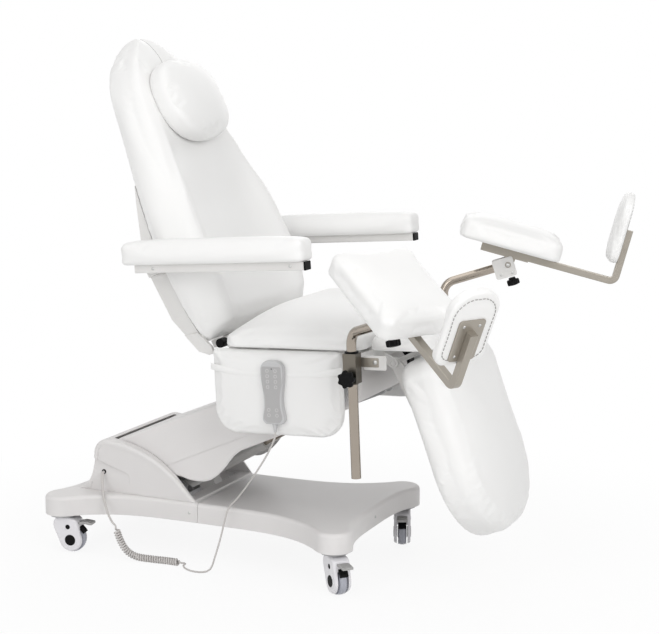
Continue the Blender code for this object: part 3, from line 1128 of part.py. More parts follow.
# Leg supports
def star_knob(name, parent, axis, centre, face, outward, radius=KNOB_R):
    """A lobed knob on a short stud; face is where the stud meets its seat."""
    count = KNOB_LOBES * 4
    rim = []
    for n in range(count):
        turn = 2.0 * math.pi * n / count
        lobe = radius * (1.0 - KNOB_LOBE_DEPTH + KNOB_LOBE_DEPTH * math.cos(KNOB_LOBES * turn))
        rim.append((centre[0] + lobe * math.cos(turn), centre[1] + lobe * math.sin(turn)))
    inner = face + outward * KNOB_STUD
    outer = inner + outward * KNOB_T
    stud_in = face + outward * SEAT_GAP
    stud_out = inner + outward * 4.0 * LAP
    return body(name, parent, BLACK_PLASTIC,
                [prism(rim, axis, min(inner, outer), max(inner, outer)),
                 drum(axis, centre, KNOB_STUD_R, min(stud_in, stud_out), max(stud_in, stud_out), 8)])


def leg_support(hand, side, bend, spread, droop, reach):
    """One support: bush and post in the socket, bracket on the post's arm, knee pad and foot bar."""
    turn = empty(f"post_{hand}_axis", seat_frame_axis, (POST_X, side * POST_Y, 0.0), 0.0, side * spread)
    inner_r = POST_R + SEAT_GAP
    collar_z = SOCKET_TOP + SEAT_GAP
    bush = lathe(((BUSH_R, SOCKET_FOOT - BUSH_TAIL), (BUSH_R, collar_z), (BUSH_COLLAR_R, collar_z),
                  (BUSH_COLLAR_R, collar_z + BUSH_COLLAR_H)), "z", (0.0, 0.0), 16)
    body(f"post_{hand}_bush", turn, BLACK_PLASTIC, [bush],
         [drum("z", (0.0, 0.0), inner_r, -FAR, FAR, 12)])

    outside = side * (POST_Y + SOCKET_W / 2.0)
    star_knob(f"post_{hand}_knob", seat_frame_axis, "y", (POST_X, POST_KNOB_Z), outside, side)

    rise = math.radians(POST_ARM_RISE_DEG)
    bend_sweep = 90.0 - POST_ARM_RISE_DEG
    setback = POST_BEND_R * math.tan(math.radians(bend_sweep / 2.0))
    arm_tip = POST_ARM - POST_TIP_SHORT
    path = [(0.0, POST_FOOT)]
    path += arc((POST_BEND_R, bend - setback), POST_BEND_R, 180.0, 180.0 - bend_sweep, 6)
    path += [(arm_tip * math.cos(rise), bend + arm_tip * math.sin(rise))]
    body(f"post_{hand}", turn, STAINLESS, [sweep(path, circle((0.0, 0.0), POST_R, 12))])

    arm_out = POST_ARM * math.cos(rise)
    arm_up = bend + POST_ARM * math.sin(rise)
    arm = empty(f"bracket_{hand}_axis", turn, (arm_out, 0.0, arm_up), POST_ARM_RISE_DEG)
    inside = POST_R + SEAT_GAP
    rear = -BRACKET_W * BRACKET_REAR_SHARE
    front = rear + BRACKET_W
    cheeks = []
    for hand_side in (-1, 1):
        low_y = hand_side * (inside + BRACKET_T / 2.0) - BRACKET_T / 2.0
        cheeks.append(prism(rounded((rear, -BRACKET_DOWN), (front, BRACKET_UP), BRACKET_CORNER_R, 2), "y",
                            low_y, low_y + BRACKET_T))
    lap_y = inside + LAP
    web_low = LAP - BRACKET_DOWN
    web = block((rear + BRACKET_CORNER_R, -lap_y, web_low), (front - 4.0 * LAP, lap_y, web_low + BRACKET_T))
    saddle = block((rear + 2.0 * LAP, -lap_y, web_low + 2.0 * LAP),
                   (rear + 2.0 * LAP + SADDLE_LENGTH, lap_y, -inside))
    body(f"tilt_bracket_{hand}", arm, WHITE_PAINT, cheeks + [web, saddle],
         [drum("y", (0.0, 0.0), LINK_PIN_R + PIN_GAP, -FAR, FAR, 16)])
    star_knob(f"tilt_knob_{hand}", arm, "z", (0.0, 0.0), web_low, -1, TILT_KNOB_R)

    tilt = empty(f"knee_{hand}_axis", arm, (0.0, 0.0, 0.0), -droop - POST_ARM_RISE_DEG)
    half = PAD_RAIL / 2.0
    lug_half = inside - SEAT_GAP
    pin_reach = inside + BRACKET_T
    board_low = PAD_RAIL_LIFT + half - LAP
    board_high = PAD_RAIL_LIFT + half + KNEE_BOARD_T
    lug_top = PAD_RAIL_LIFT - half + LAP
    lug = hull(circle((0.0, 0.0), PAD_RAIL_LUG_R, 12)
               + [(-PAD_RAIL_LUG_FOOT, lug_top), (PAD_RAIL_LUG_FOOT, lug_top)])
    rail = [block((PAD_RAIL_REAR, -half, PAD_RAIL_LIFT - half), (PAD_RAIL_FRONT, half, PAD_RAIL_LIFT + half)),
            prism(lug, "y", -lug_half, lug_half),
            drum("y", (0.0, 0.0), LINK_PIN_R, -pin_reach, pin_reach, 16),
            block((PAD_RAIL_REAR + KNEE_BOARD_IN, -PAD_RAIL, board_low),
                  (PAD_RAIL_FRONT - KNEE_BOARD_IN, PAD_RAIL, board_high))]
    bore_half = FOOT_BAR / 2.0 + SEAT_GAP
    body(f"pad_rail_{hand}", tilt, STAINLESS, rail,
         [block((-FAR, -bore_half, PAD_RAIL_LIFT - bore_half), (FAR, bore_half, PAD_RAIL_LIFT + bore_half))])
    plan = pad_outline(KNEE_PAD_SHIFT - KNEE_PAD_LENGTH / 2.0, KNEE_PAD_SHIFT + KNEE_PAD_LENGTH / 2.0,
                       KNEE_PAD_W / 2.0, KNEE_PAD_CORNER_R, KNEE_PAD_PULL, side_steps=3)
    cushion(f"knee_pad_{hand}", tilt, UPHOLSTERY, plan, KNEE_PAD_T, KNEE_PAD_EDGE_R, KNEE_PAD_CROWN, 2.0 * LAP,
            Matrix.Translation((0.0, 0.0, board_high + SEAT_GAP)))

    square = [(-FOOT_BAR / 2.0, -FOOT_BAR / 2.0), (FOOT_BAR / 2.0, -FOOT_BAR / 2.0),
              (FOOT_BAR / 2.0, FOOT_BAR / 2.0), (-FOOT_BAR / 2.0, FOOT_BAR / 2.0)]
    line_z = PAD_RAIL_LIFT
    bar_path = [(FOOT_BAR_REAR, line_z)]
    bar_path += arc((reach - FOOT_BAR_BEND_R, line_z + FOOT_BAR_BEND_R), FOOT_BAR_BEND_R, -90.0, 0.0, 4)
    bar_path += [(reach, line_z + FOOT_BAR_UP)]
    plate_x = reach - FOOT_BAR / 2.0
    plate = block((plate_x - FOOT_PLATE_T, -FOOT_PLATE_W / 2.0, line_z + FOOT_PLATE_FOOT),
                  (plate_x + LAP, FOOT_PLATE_W / 2.0, line_z + FOOT_PLATE_TOP))
    body(f"foot_bar_{hand}", tilt, STAINLESS, [sweep(bar_path, square), plate])
    half_pad = FOOT_PAD_W / 2.0
    pad_back = plate_x - FOOT_PLATE_T - SEAT_GAP
    plan = pad_outline(FOOT_PAD_FOOT, FOOT_PAD_TOP, half_pad, FOOT_PAD_CORNER_R, LAP,
                       far_r=half_pad * FOOT_PAD_ROUND, side_steps=2)
    stand = Matrix(((0, 0, -1, pad_back), (0, 1, 0, 0), (1, 0, 0, line_z), (0, 0, 0, 1)))
    cushion(f"foot_pad_{hand}", tilt, UPHOLSTERY, plan, FOOT_PAD_T, FOOT_PAD_EDGE_R, FOOT_PAD_CROWN, LAP,
            stand)


for hand, pose in LEG_POSES.items():
    leg_support(hand, **pose)

# Handset, flat on the right apron, with its strain relief
half_body = HANDSET_W / 2.0
handset_foot = HANDSET_TOP - HANDSET_LENGTH
corner_x = half_body - HANDSET_CORNER_R
corner_z = HANDSET_TOP - HANDSET_CORNER_R
side_line = [(half_body, corner_z), (half_body, HANDSET_TOP - 0.045),
             (HANDSET_WAIST / 2.0, handset_foot + 0.075), (HANDSET_WAIST / 2.0, handset_foot + 0.045),
             (half_body - LAP, handset_foot + HANDSET_CORNER_R), (corner_x, handset_foot)]
outline = side_line + [(-x, z) for x, z in reversed(side_line)]
outline += arc((-corner_x, corner_z), HANDSET_CORNER_R, 170, 90, 2)
outline += arc((corner_x, corner_z), HANDSET_CORNER_R, 90, 10, 2)
outline = [(HANDSET_X + x, z) for x, z in outline]
handset_back = -SEAT_HALF_W - SEAT_GAP
relief_y = handset_back - HANDSET_T / 2.0
relief = lathe(((RELIEF_R, handset_foot + 4.0 * LAP), (RELIEF_R, handset_foot - 4.0 * LAP),
                (RELIEF_TIP_R, handset_foot - RELIEF_LENGTH)), "z", (HANDSET_X, relief_y), 10)
body("handset", seat_frame_axis, HANDSET_GREY,
     [prism(outline, "y", handset_back - HANDSET_T, handset_back), relief])

# Cord: lead from the tower, curls, and the drop up to the handset
bpy.context.view_layer.update()
tube_step = 6.0 * CORD_R
gland_face = Vector((GLAND_X, -tower_half - GLAND_STANDS - SEAT_GAP, GLAND_Z))
lead_start = gland_face + Vector((0.0, -2.0 * CORD_R, 0.0))
coil_line = smooth_route(COIL_ROUTE, 2.0 * CORD_R)
coil_in = (coil_line[1] - coil_line[0]).normalized()
coil_out = Vector((0.0, -1.0, 0.0))
end_run = 2.0 * CORD_R
lead_end = coil_line[0] - coil_in * (end_run + SEAT_GAP)
lead_points = [gland_face]
lead_points += smooth_route([lead_start, *LEAD_ROUTE, lead_end - coil_in * end_run], tube_step)
lead_points.append(lead_end)
cord("cord_lead", floor_frame, lead_points, 2)

curl_r = COIL_R - CORD_R
reach = [0.0]
for p, q in zip(coil_line, coil_line[1:]):
    reach.append(reach[-1] + (q - p).length)
ring_count = COIL_TURNS * COIL_POINTS
coil_points = [coil_line[0] - coil_in * end_run]
side_ways = Vector((0.0, -1.0, 0.0))
for n in range(ring_count + 1):
    want = reach[-1] * n / ring_count
    k = min(max(i for i, r in enumerate(reach) if r <= want + 1e-12), len(coil_line) - 2)
    middle = coil_line[k].lerp(coil_line[k + 1], (want - reach[k]) / (reach[k + 1] - reach[k]))
    tangent = (coil_line[k + 1] - coil_line[k]).normalized()
    side_ways = (side_ways - tangent * side_ways.dot(tangent)).normalized()
    lift_ways = tangent.cross(side_ways)
    swell = min(1.0, n / COIL_POINTS, (ring_count - n) / COIL_POINTS)
    angle = 2.0 * math.pi * n / COIL_POINTS
    coil_points.append(middle + curl_r * swell * (math.cos(angle) * side_ways + math.sin(angle) * lift_ways))
coil_points += [coil_line[-1] + Vector(step) for step in COIL_TAIL]
coil_points.append(coil_points[-1] + coil_out * end_run)
cord("cord_coil", floor_frame, coil_points, 1)

relief_tip = Vector((HANDSET_X, relief_y, handset_foot - RELIEF_LENGTH - SEAT_GAP))
relief_end = floor_frame.matrix_world.inverted() @ seat_frame_axis.matrix_world @ relief_tip
into_handset = seat_frame_axis.matrix_world.to_3x3() @ Vector((0.0, 0.0, 1.0))
drop_start = coil_points[-1] + coil_out * SEAT_GAP
drop_points = [drop_start] + smooth_route([drop_start + coil_out * end_run, *DROP_ROUTE,
                                           relief_end - into_handset * end_run], tube_step) + [relief_end]
cord("cord_drop", floor_frame, drop_points, 2)
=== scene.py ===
"""Electric treatment bed: the dressed model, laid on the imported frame. Metres, the frame's own axes."""
import bisect
import math

import bmesh
import bpy
from mathutils import Matrix, Vector
from mathutils.bvhtree import BVHTree
from mathutils.geometry import convex_hull_2d, intersect_point_line


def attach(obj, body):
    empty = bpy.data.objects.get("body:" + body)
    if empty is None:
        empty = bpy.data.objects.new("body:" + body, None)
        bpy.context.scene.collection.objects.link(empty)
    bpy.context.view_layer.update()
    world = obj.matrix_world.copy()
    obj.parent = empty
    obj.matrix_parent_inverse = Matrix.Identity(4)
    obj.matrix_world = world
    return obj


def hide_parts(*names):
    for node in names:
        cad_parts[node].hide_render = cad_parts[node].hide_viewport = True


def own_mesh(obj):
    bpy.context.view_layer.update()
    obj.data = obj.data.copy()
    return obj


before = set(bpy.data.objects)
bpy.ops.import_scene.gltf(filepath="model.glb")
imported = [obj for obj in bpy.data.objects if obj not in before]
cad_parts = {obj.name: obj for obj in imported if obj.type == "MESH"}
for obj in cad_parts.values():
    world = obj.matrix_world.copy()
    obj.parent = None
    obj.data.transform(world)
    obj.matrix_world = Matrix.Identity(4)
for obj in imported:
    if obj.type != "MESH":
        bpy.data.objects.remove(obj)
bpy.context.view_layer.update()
scene = bpy.context.scene
scene.view_settings.view_transform = "Standard"


# Studio: white air, a pale floor and large soft lamps, seen from the photograph's angle.
# The floor reads as white to the camera and to polished metal, and still takes the bed's soft shadow.
class Wire:
    """A socket of a node tree; sums on it add Math nodes, and node() adds any other kind."""

    def __init__(self, tree, socket):
        self.tree = tree
        self.socket = socket

    def node(self, kind, settings=None, inputs=None, out=0):
        """A new node: its settings first, then the values or links of its sockets."""
        made = self.tree.nodes.new(kind)
        for name, value in (settings or {}).items():
            setattr(made, name, value)
        for name, value in (inputs or {}).items():
            if isinstance(value, Wire):
                self.tree.links.new(value.socket, made.inputs[name])
            else:
                made.inputs[name].default_value = value
        return Wire(self.tree, made.outputs[out])

    def sum(self, operation, first, second=0.0):
        return self.node("ShaderNodeMath", {"operation": operation}, {0: first, 1: second})

    def __add__(self, other):
        return self.sum("ADD", self, other)

    def __radd__(self, other):
        return self.sum("ADD", other, self)

    def __sub__(self, other):
        return self.sum("SUBTRACT", self, other)

    def __rsub__(self, other):
        return self.sum("SUBTRACT", other, self)

    def __mul__(self, other):
        return self.sum("MULTIPLY", self, other)

    def __rmul__(self, other):
        return self.sum("MULTIPLY", other, self)

    def most(self, other):
        return self.sum("MAXIMUM", self, other)

    def size(self):
        return self.sum("ABSOLUTE", self)

    def rise(self, low, high):
        """0 below low, 1 above high, eased between."""
        settings = {"interpolation_type": "SMOOTHSTEP"}
        return self.node("ShaderNodeMapRange", settings, {0: self, 1: low, 2: high})

    def axis(self, name):
        return self.node("ShaderNodeSeparateXYZ", None, {0: self}, "XYZ".index(name))

    def tint(self, low, high):
        """A colour that goes from low to high as this value goes from 0 to 1."""
        inputs = {0: self}
        for key, shade in ((6, low), (7, high)):
            inputs[key] = shade if isinstance(shade, Wire) else (*shade, 1.0)
        return self.node("ShaderNodeMix", {"data_type": "RGBA"}, inputs, 2)

    def into(self, node, name):
        self.tree.links.new(self.socket, node.inputs[name])


def white_to_camera(tree):
    """1 on the rays of the camera, of mirrors and of glass, and 0 on the light's own."""
    ray = tree.nodes.new("ShaderNodeLightPath")
    seen = Wire(tree, ray.outputs["Is Camera Ray"])
    for kind in ("Is Glossy Ray", "Is Transmission Ray"):
        seen = seen.most(Wire(tree, ray.outputs[kind]))
    return seen


AIR_LIGHT = 0.48
air = bpy.data.worlds.new("studio_air")
air.use_nodes = True
scene.world = air
glow = air.node_tree.nodes["Background"]
(AIR_LIGHT + (1.0 - AIR_LIGHT) * white_to_camera(air.node_tree)).into(glow, "Strength")
glow.inputs["Color"].default_value = (1.0, 1.0, 1.0, 1.0)

for name, spot, aim, wide, power in (("lamp_over", (-0.4, -0.6, 3.6), (-0.1, 0.0, 0.6), 3.2, 24.0),
                                     ("lamp_front", (-0.9, -4.2, 1.9), (0.0, 0.0, 0.6), 2.6, 41.0),
                                     ("lamp_right", (2.9, -2.1, 2.4), (0.1, 0.0, 0.5), 2.6, 61.0),
                                     ("lamp_behind", (-0.8, 3.4, 2.4), (0.0, 0.0, 0.7), 2.6, 23.0)):
    lamp = bpy.data.lights.new(name, "AREA")
    lamp.size = wide
    lamp.energy = power
    stand = bpy.data.objects.new(name, lamp)
    scene.collection.objects.link(stand)
    stand.location = spot
    stand.rotation_euler = (Vector(aim) - Vector(spot)).to_track_quat("-Z", "Y").to_euler()

FLOOR_SIZE = 14.0
FLOOR_GLOW = 0.90
SHADE_NEAR = 0.7
SHADE_FAR = 1.6
floor_data = bpy.data.meshes.new("studio_floor")
floor_corners = [(x * FLOOR_SIZE, y * FLOOR_SIZE, 0.0) for x, y in ((-1, -1), (1, -1), (1, 1), (-1, 1))]
floor_data.from_pydata(floor_corners, [], [(0, 1, 2, 3)])
floor = bpy.data.objects.new("studio_floor", floor_data)
scene.collection.objects.link(floor)
paper = bpy.data.materials.new("studio_paper")
paper.use_nodes = True
paper_tree = paper.node_tree
paper_matt = paper_tree.nodes["Principled BSDF"]
paper_matt.inputs["Base Color"].default_value = (0.90, 0.90, 0.90, 1.0)
paper_matt.inputs["Roughness"].default_value = 0.9
seen = white_to_camera(paper_tree)
spot = Wire(paper_tree, paper_tree.nodes.new("ShaderNodeTexCoord").outputs["Object"])
away = spot.node("ShaderNodeVectorMath", {"operation": "LENGTH"}, {0: spot}, "Value")
white = seen.node("ShaderNodeEmission", None, {"Color": (1.0, 1.0, 1.0, 1.0), "Strength": 1.0})
shown = seen.node("ShaderNodeMixShader", None,
                  {0: seen * (FLOOR_GLOW + (1.0 - FLOOR_GLOW) * away.rise(SHADE_NEAR, SHADE_FAR)),
                   1: Wire(paper_tree, paper_matt.outputs[0]), 2: white})
shown.into(paper_tree.nodes["Material Output"], "Surface")
floor_data.materials.append(paper)

lens = bpy.data.cameras.new("photograph")
lens.sensor_width = 36.0
lens.lens = 85.24
camera = bpy.data.objects.new("photograph", lens)
scene.collection.objects.link(camera)
camera.location = (1.7723, -3.7525, 1.3615)
camera.rotation_euler = (math.radians(90.0 - 9.1496), 0.0, math.radians(24.5783))
scene.camera = camera


# Handset cord: light grey vinyl, plain where it leaves the tower and climbs to the handset, curled between.
# The lead and curls stay with the base. The climb goes with the handset and enters it by a tapered relief.
def frame_at(parent, at, pitch=0.0, turn=0.0):
    """A frame on another: pitch lifts its nose, turn goes round its upright."""
    return (parent @ Matrix.Translation(at) @ Matrix.Rotation(math.radians(turn), 4, "Z")
            @ Matrix.Rotation(-math.radians(pitch), 4, "Y"))


def finish(name, slot, metallic=0.0):
    """A material with its shader and the wire of its object coordinates."""
    made = bpy.data.materials.new(name)
    made.use_nodes = True
    made["slot"] = slot
    shader = made.node_tree.nodes["Principled BSDF"]
    shader.inputs["Metallic"].default_value = metallic
    here = Wire(made.node_tree, made.node_tree.nodes.new("ShaderNodeTexCoord").outputs["Object"])
    return made, shader, here


def noise(here, scale, detail=2.0):
    """Soft cloudy variation, from 0 to 1, at a scale of blotches to the metre."""
    return here.node("ShaderNodeTexNoise", None, {"Vector": here, "Scale": scale, "Detail": detail})


def relief(shader, height, strength, depth):
    """A fine raised texture on a surface."""
    height.node("ShaderNodeBump", None,
                {"Strength": strength, "Distance": depth, "Height": height}).into(shader, "Normal")


def coat(name, slot, low, high, blotch, rough, grain=None, raised=None, metallic=0.0, also=None):
    """A finish whose colour drifts between two tints; its gloss and relief follow the drift, or a grain."""
    made, shader, here = finish(name, slot, metallic)
    drift = noise(here, *blotch)
    drift.tint(low, high).into(shader, "Base Color")
    fine = noise(here, *grain) if grain else drift
    if isinstance(rough, float):
        shader.inputs["Roughness"].default_value = rough
    else:
        (rough[0] + rough[1] * fine).into(shader, "Roughness")
    if raised:
        relief(shader, fine, *raised)
    for socket, value in (also or {}).items():
        shader.inputs[socket].default_value = value
    return made


def distances(points):
    """How far along a line each of its points lies."""
    reach = [0.0]
    for p, q in zip(points, points[1:]):
        reach.append(reach[-1] + (q - p).length)
    return reach


def along(points, reach, want):
    """The last point before a distance along a line, by number, and the place at that distance."""
    n = min(max(bisect.bisect_left(reach, want) - 1, 0), len(reach) - 2)
    return n, points[n].lerp(points[n + 1], (want - reach[n]) / max(reach[n + 1] - reach[n], 1e-9))


def smooth(a, b, c, d, t):
    """The place a share t of the way from b to c, on a smooth curve from a to d."""
    return 0.5 * (2 * b + (c - a) * t + (2 * a - 5 * b + 4 * c - d) * t ** 2
                  + (3 * b - a - 3 * c + d) * t ** 3)


def laid(route, spacing):
    """Points at even steps along a smooth curve through the route's own points."""
    ends = [Vector(p) for p in route]
    padded = [2 * ends[0] - ends[1], *ends, 2 * ends[-1] - ends[-2]]
    fine = []
    for a, b, c, d in zip(padded, padded[1:], padded[2:], padded[3:]):
        fine += [smooth(a, b, c, d, n / 16.0) for n in range(16)]
    fine.append(ends[-1])
    reach = distances(fine)
    count = max(2, round(reach[-1] / spacing))
    return [along(fine, reach, reach[-1] * k / count)[1] for k in range(count + 1)]


FLOOR = Matrix.Translation((-0.274, 0.068, 0.0))
CORD_R = 0.0025
CORD_STEP = 0.012
CURL_FULL = 1.22
CURL_R = 0.0075
CURLS = 32
CURL_POINTS = 16
WIND_POINTS = 12
WIND_SPARE = 6.0
LEAD_ROUTE = ((-0.3220, -0.1760, 0.2260), (-0.3216, -0.1870, 0.2244), (-0.3170, -0.1970, 0.2100),
              (-0.3070, -0.2110, 0.1860), (-0.2970, -0.2215, 0.1660), (-0.2896, -0.2290, 0.1530),
              (-0.2680, -0.2450, 0.1240), (-0.2480, -0.2565, 0.1070))
LEAD_FULL = 1.15
LEAD_SLEEVE = 0.55
CURL_ROUTE = ((-0.2360, -0.2600, 0.1000), (-0.2230, -0.2590, 0.0620), (-0.2060, -0.2530, 0.0310),
              (-0.1800, -0.2440, 0.0140), (-0.1300, -0.2370, 0.0108), (-0.0890, -0.2320, 0.0106),
              (-0.0400, -0.2320, 0.0106))
CURL_TAIL = ((0.0060, 0.0000, 0.0000), (0.0105, -0.0025, 0.0000), (0.0120, -0.0080, 0.0000),
             (0.0120, -0.0122, 0.0000))
CLIMB_ROUTE = ((-0.0280, -0.2487, 0.0106), (-0.0180, -0.2580, 0.0070), (0.0050, -0.2620, 0.0030),
               (0.0360, -0.2590, 0.0030), (0.0580, -0.2520, 0.0120), (0.0690, -0.2450, 0.0450),
               (0.0800, -0.2300, 0.1000), (0.0850, -0.2080, 0.1560), (0.0920, -0.1980, 0.1790),
               (0.1200, -0.2120, 0.2060), (0.1620, -0.2420, 0.2480), (0.2120, -0.2760, 0.3040),
               (0.2560, -0.3010, 0.3600), (0.2790, -0.3098, 0.3980))
SEAT = frame_at(FLOOR, (0.360, 0.0, 0.600), 2.5)
HANDSET_X = -0.080
HANDSET_FOOT = -0.146
HANDSET_BACK = -0.3003
HANDSET_T = 0.019
RELIEF_L = 0.022

vinyl = coat("cord_vinyl", "cord_grey", (0.50, 0.48, 0.465), (0.60, 0.575, 0.56), (160.0, 3.0), (0.36, 0.16))


def cord_line(name, points, fullness, body, *nodes):
    """A round cord along points, with closed ends; fullness is its share of the plain radius at each."""
    data = bpy.data.curves.new(name, "CURVE")
    data.dimensions = "3D"
    data.bevel_depth = CORD_R
    data.bevel_resolution = 3
    data.use_fill_caps = True
    line = data.splines.new("POLY")
    line.points.add(len(points) - 1)
    for knot, p, full in zip(line.points, points, fullness):
        knot.co = (*p, 1.0)
        knot.radius = full
    line.use_smooth = True
    data.materials.append(vinyl)
    made = bpy.data.objects.new(name, data)
    scene.collection.objects.link(made)
    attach(made, body)
    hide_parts(*nodes)
    return made


middle_line = laid(CURL_ROUTE, 0.004)
lead_points = [FLOOR @ p for p in laid([*LEAD_ROUTE, CURL_ROUTE[0]], CORD_STEP)[:-1]]
lead_full = [LEAD_FULL + LEAD_SLEEVE * (1.0 - n / len(lead_points)) for n in range(len(lead_points))]
reach = distances(middle_line)
count = CURLS * CURL_POINTS
winding = [min(1.0, n / WIND_POINTS, (count - n) / WIND_POINTS) for n in range(count + 1)]
steps = [0.0]
for p, q in zip(winding, winding[1:]):
    steps.append(steps[-1] + 1.0 + WIND_SPARE * (1.0 - (p + q) / 2.0) ** 2)
aside = Vector((0.0, -1.0, 0.0))
for n, wound in enumerate(winding):
    k, middle = along(middle_line, reach, reach[-1] * steps[n] / steps[-1])
    onward = (middle_line[k + 1] - middle_line[k]).normalized()
    aside = (aside - onward * aside.dot(onward)).normalized()
    upward = onward.cross(aside)
    turn = 2.0 * math.pi * n / CURL_POINTS
    lead_full.append(1.0 + (CURL_FULL - 1.0) * wound)
    round_it = math.cos(turn) * aside + math.sin(turn) * upward
    lead_points.append(FLOOR @ (middle + CURL_R * wound * round_it))
lead_points += [FLOOR @ (middle_line[-1] + Vector(step)) for step in CURL_TAIL]
lead_full += [1.0] * len(CURL_TAIL)
lead = cord_line("cord_lead_and_curls", lead_points, lead_full, "base", "cord_lead", "cord_coil")
distances(lead_points)[-1]
relief_y = HANDSET_BACK - HANDSET_T / 2.0
relief_tip = SEAT @ Vector((HANDSET_X, relief_y, HANDSET_FOOT - RELIEF_L))
below_tip = SEAT @ Vector((HANDSET_X, relief_y, HANDSET_FOOT - RELIEF_L - 3.0 * CORD_R))
climb_points = laid([*(FLOOR @ Vector(p) for p in CLIMB_ROUTE), below_tip, relief_tip], CORD_STEP)
climb_points.reverse()
climb = cord_line("cord_climb", climb_points, [1.0] * len(climb_points), "handset", "cord_drop")
distances(climb_points)[-1]


# Chassis: welded steel under the covers, powder-coated grey, with the control box bolted to its tray.
# It is the frame's own solid with its edges eased.
def soften(node, material, ease):
    """A CAD solid shown as it is, with eased edges and a finish."""
    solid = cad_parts[node]
    join = solid.modifiers.new("join", "WELD")
    join.merge_threshold = 0.00002
    flat = solid.modifiers.new("flat", "DECIMATE")
    flat.decimate_type = "DISSOLVE"
    flat.angle_limit = math.radians(1.0)
    edge = solid.modifiers.new("edge", "BEVEL")
    edge.width = ease
    edge.segments = 2
    edge.limit_method = "ANGLE"
    edge.angle_limit = math.radians(32.0)
    edge.harden_normals = True
    solid.data.materials.clear()
    solid.data.materials.append(material)


steel = coat("chassis_paint", "grey_painted_steel", (0.40, 0.40, 0.405), (0.50, 0.50, 0.505), (900.0, 2.0),
             (0.42, 0.2), raised=(0.25, 0.0003), metallic=0.2)
soften("base_frame", steel, 0.0015)

black = coat("black_nylon", "black_plastic", (0.006, 0.006, 0.0065), (0.013, 0.013, 0.0135), (1400.0, 2.0),
             (0.34, 0.2), raised=(0.2, 0.0002), also={"Specular IOR Level": 0.05})
soften("control_box", black, 0.002)


# Base covers: two warm light grey mouldings with a satin skin, split across and screwed to the chassis.
# The rear one rises into a tower with two cheeks, which hide the foot of the lift arm.
# Each cheek has a rolled lip, and the right one has a recess where the cord comes out.
def arc(centre, radius, start, stop, steps):
    turns = [math.radians(start + (stop - start) * n / steps) for n in range(steps + 1)]
    return [(centre[0] + radius * math.cos(t), centre[1] + radius * math.sin(t)) for t in turns]


FAR = 1.0
PUT = {"x": lambda p, q, t: (t, p, q), "y": lambda p, q, t: (p, t, q), "z": lambda p, q, t: (p, q, t)}


def skin(rings):
    """A closed body through rings of points; a ring of one point closes to it."""
    made = bmesh.new()
    loops = [[made.verts.new(p) for p in ring] for ring in rings]
    for low, high in zip(loops, loops[1:]):
        if len(low) == 1 or len(high) == 1:
            tip, loop = (low, high) if len(low) == 1 else (high, low)
            for n in range(len(loop)):
                made.faces.new((tip[0], loop[n], loop[(n + 1) % len(loop)]))
            continue
        for n in range(len(low)):
            m = (n + 1) % len(low)
            made.faces.new((low[n], low[m], high[m], high[n]))
    for loop in (loops[0], loops[-1]):
        if len(loop) > 2:
            made.faces.new(loop)
    bmesh.ops.remove_doubles(made, verts=made.verts[:], dist=0.000002)
    bmesh.ops.recalc_face_normals(made, faces=made.faces[:])
    return made


def shrunk(outline, inset):
    """An outline moved inwards, square to its run; points that would cross join the nearest that don't."""
    points = [Vector(p) for p in outline]
    count = len(points)
    turn = sum(p.x * q.y - p.y * q.x for p, q in zip(points, points[1:] + points[:1]))
    hand = 1.0 if turn > 0.0 else -1.0
    moved = []
    for n, p in enumerate(points):
        before = (p - points[n - 1]).normalized()
        after = (points[(n + 1) % count] - p).normalized()
        square = Vector((-before.y, before.x)) * hand
        across = (square + Vector((-after.y, after.x)) * hand).normalized()
        moved.append(p + across * (inset / max(across.dot(square), 0.35)))
    clear = []
    for m in moved:
        nearest = FAR
        for a, b in zip(points, points[1:] + points[:1]):
            spot, share = intersect_point_line(m, a, b)
            share = min(max(share, 0.0), 1.0)
            nearest = min(nearest, (m - a.lerp(b, share)).length)
        clear.append(nearest > 0.97 * inset)
    kept = []
    for n in range(count):
        step = next((k for k in range(count) if clear[n - k] or clear[(n + k) % count]), 0)
        kept.append(tuple(moved[n - step] if clear[n - step] else moved[(n + step) % count]))
    return kept


def slab(outline, axis, low, high, ease=0.0, steps=3):
    """An outline pushed along an axis, with rounded rims."""
    put = PUT[axis]
    low, high = sorted((low, high))
    rims = [(0.0, 0.0)]
    if ease:
        turns = [math.pi * n / steps / 2.0 for n in range(steps + 1)]
        rims = [(ease * (1.0 - math.sin(t)), ease * (1.0 - math.cos(t))) for t in turns]
    rings = [[put(p, q, low + rise) for p, q in (shrunk(outline, inset) if inset else outline)]
             for inset, rise in rims]
    rings += [[put(p, q, high - rise) for p, q in (shrunk(outline, inset) if inset else outline)]
              for inset, rise in reversed(rims)]
    return skin(rings)


def bar(low, high, ease=0.0):
    """A straight bar between two corners, with rounded rims."""
    corners = [(low[0], low[1]), (high[0], low[1]), (high[0], high[1]), (low[0], high[1])]
    return slab(corners, "z", low[2], high[2], ease, 2)


def turned(profile, axis, centre, sides=32):
    """A turned body: (radius, distance) pairs along an axis."""
    put = PUT[axis]
    rings = []
    for radius, along in profile:
        if radius == 0.0:
            rings.append([put(centre[0], centre[1], along)])
            continue
        rings.append([put(p, q, along) for p, q in arc(centre, radius, 0.0, 360.0, sides)[:-1]])
    return skin(rings)


def as_mesh(name, shape):
    """A working shape, written to a mesh of its own."""
    data = bpy.data.meshes.new(name)
    shape.to_mesh(data)
    shape.free()
    return data


def solved(thing):
    """The mesh that an object's modifiers make."""
    return bpy.data.meshes.new_from_object(thing.evaluated_get(bpy.context.evaluated_depsgraph_get()))


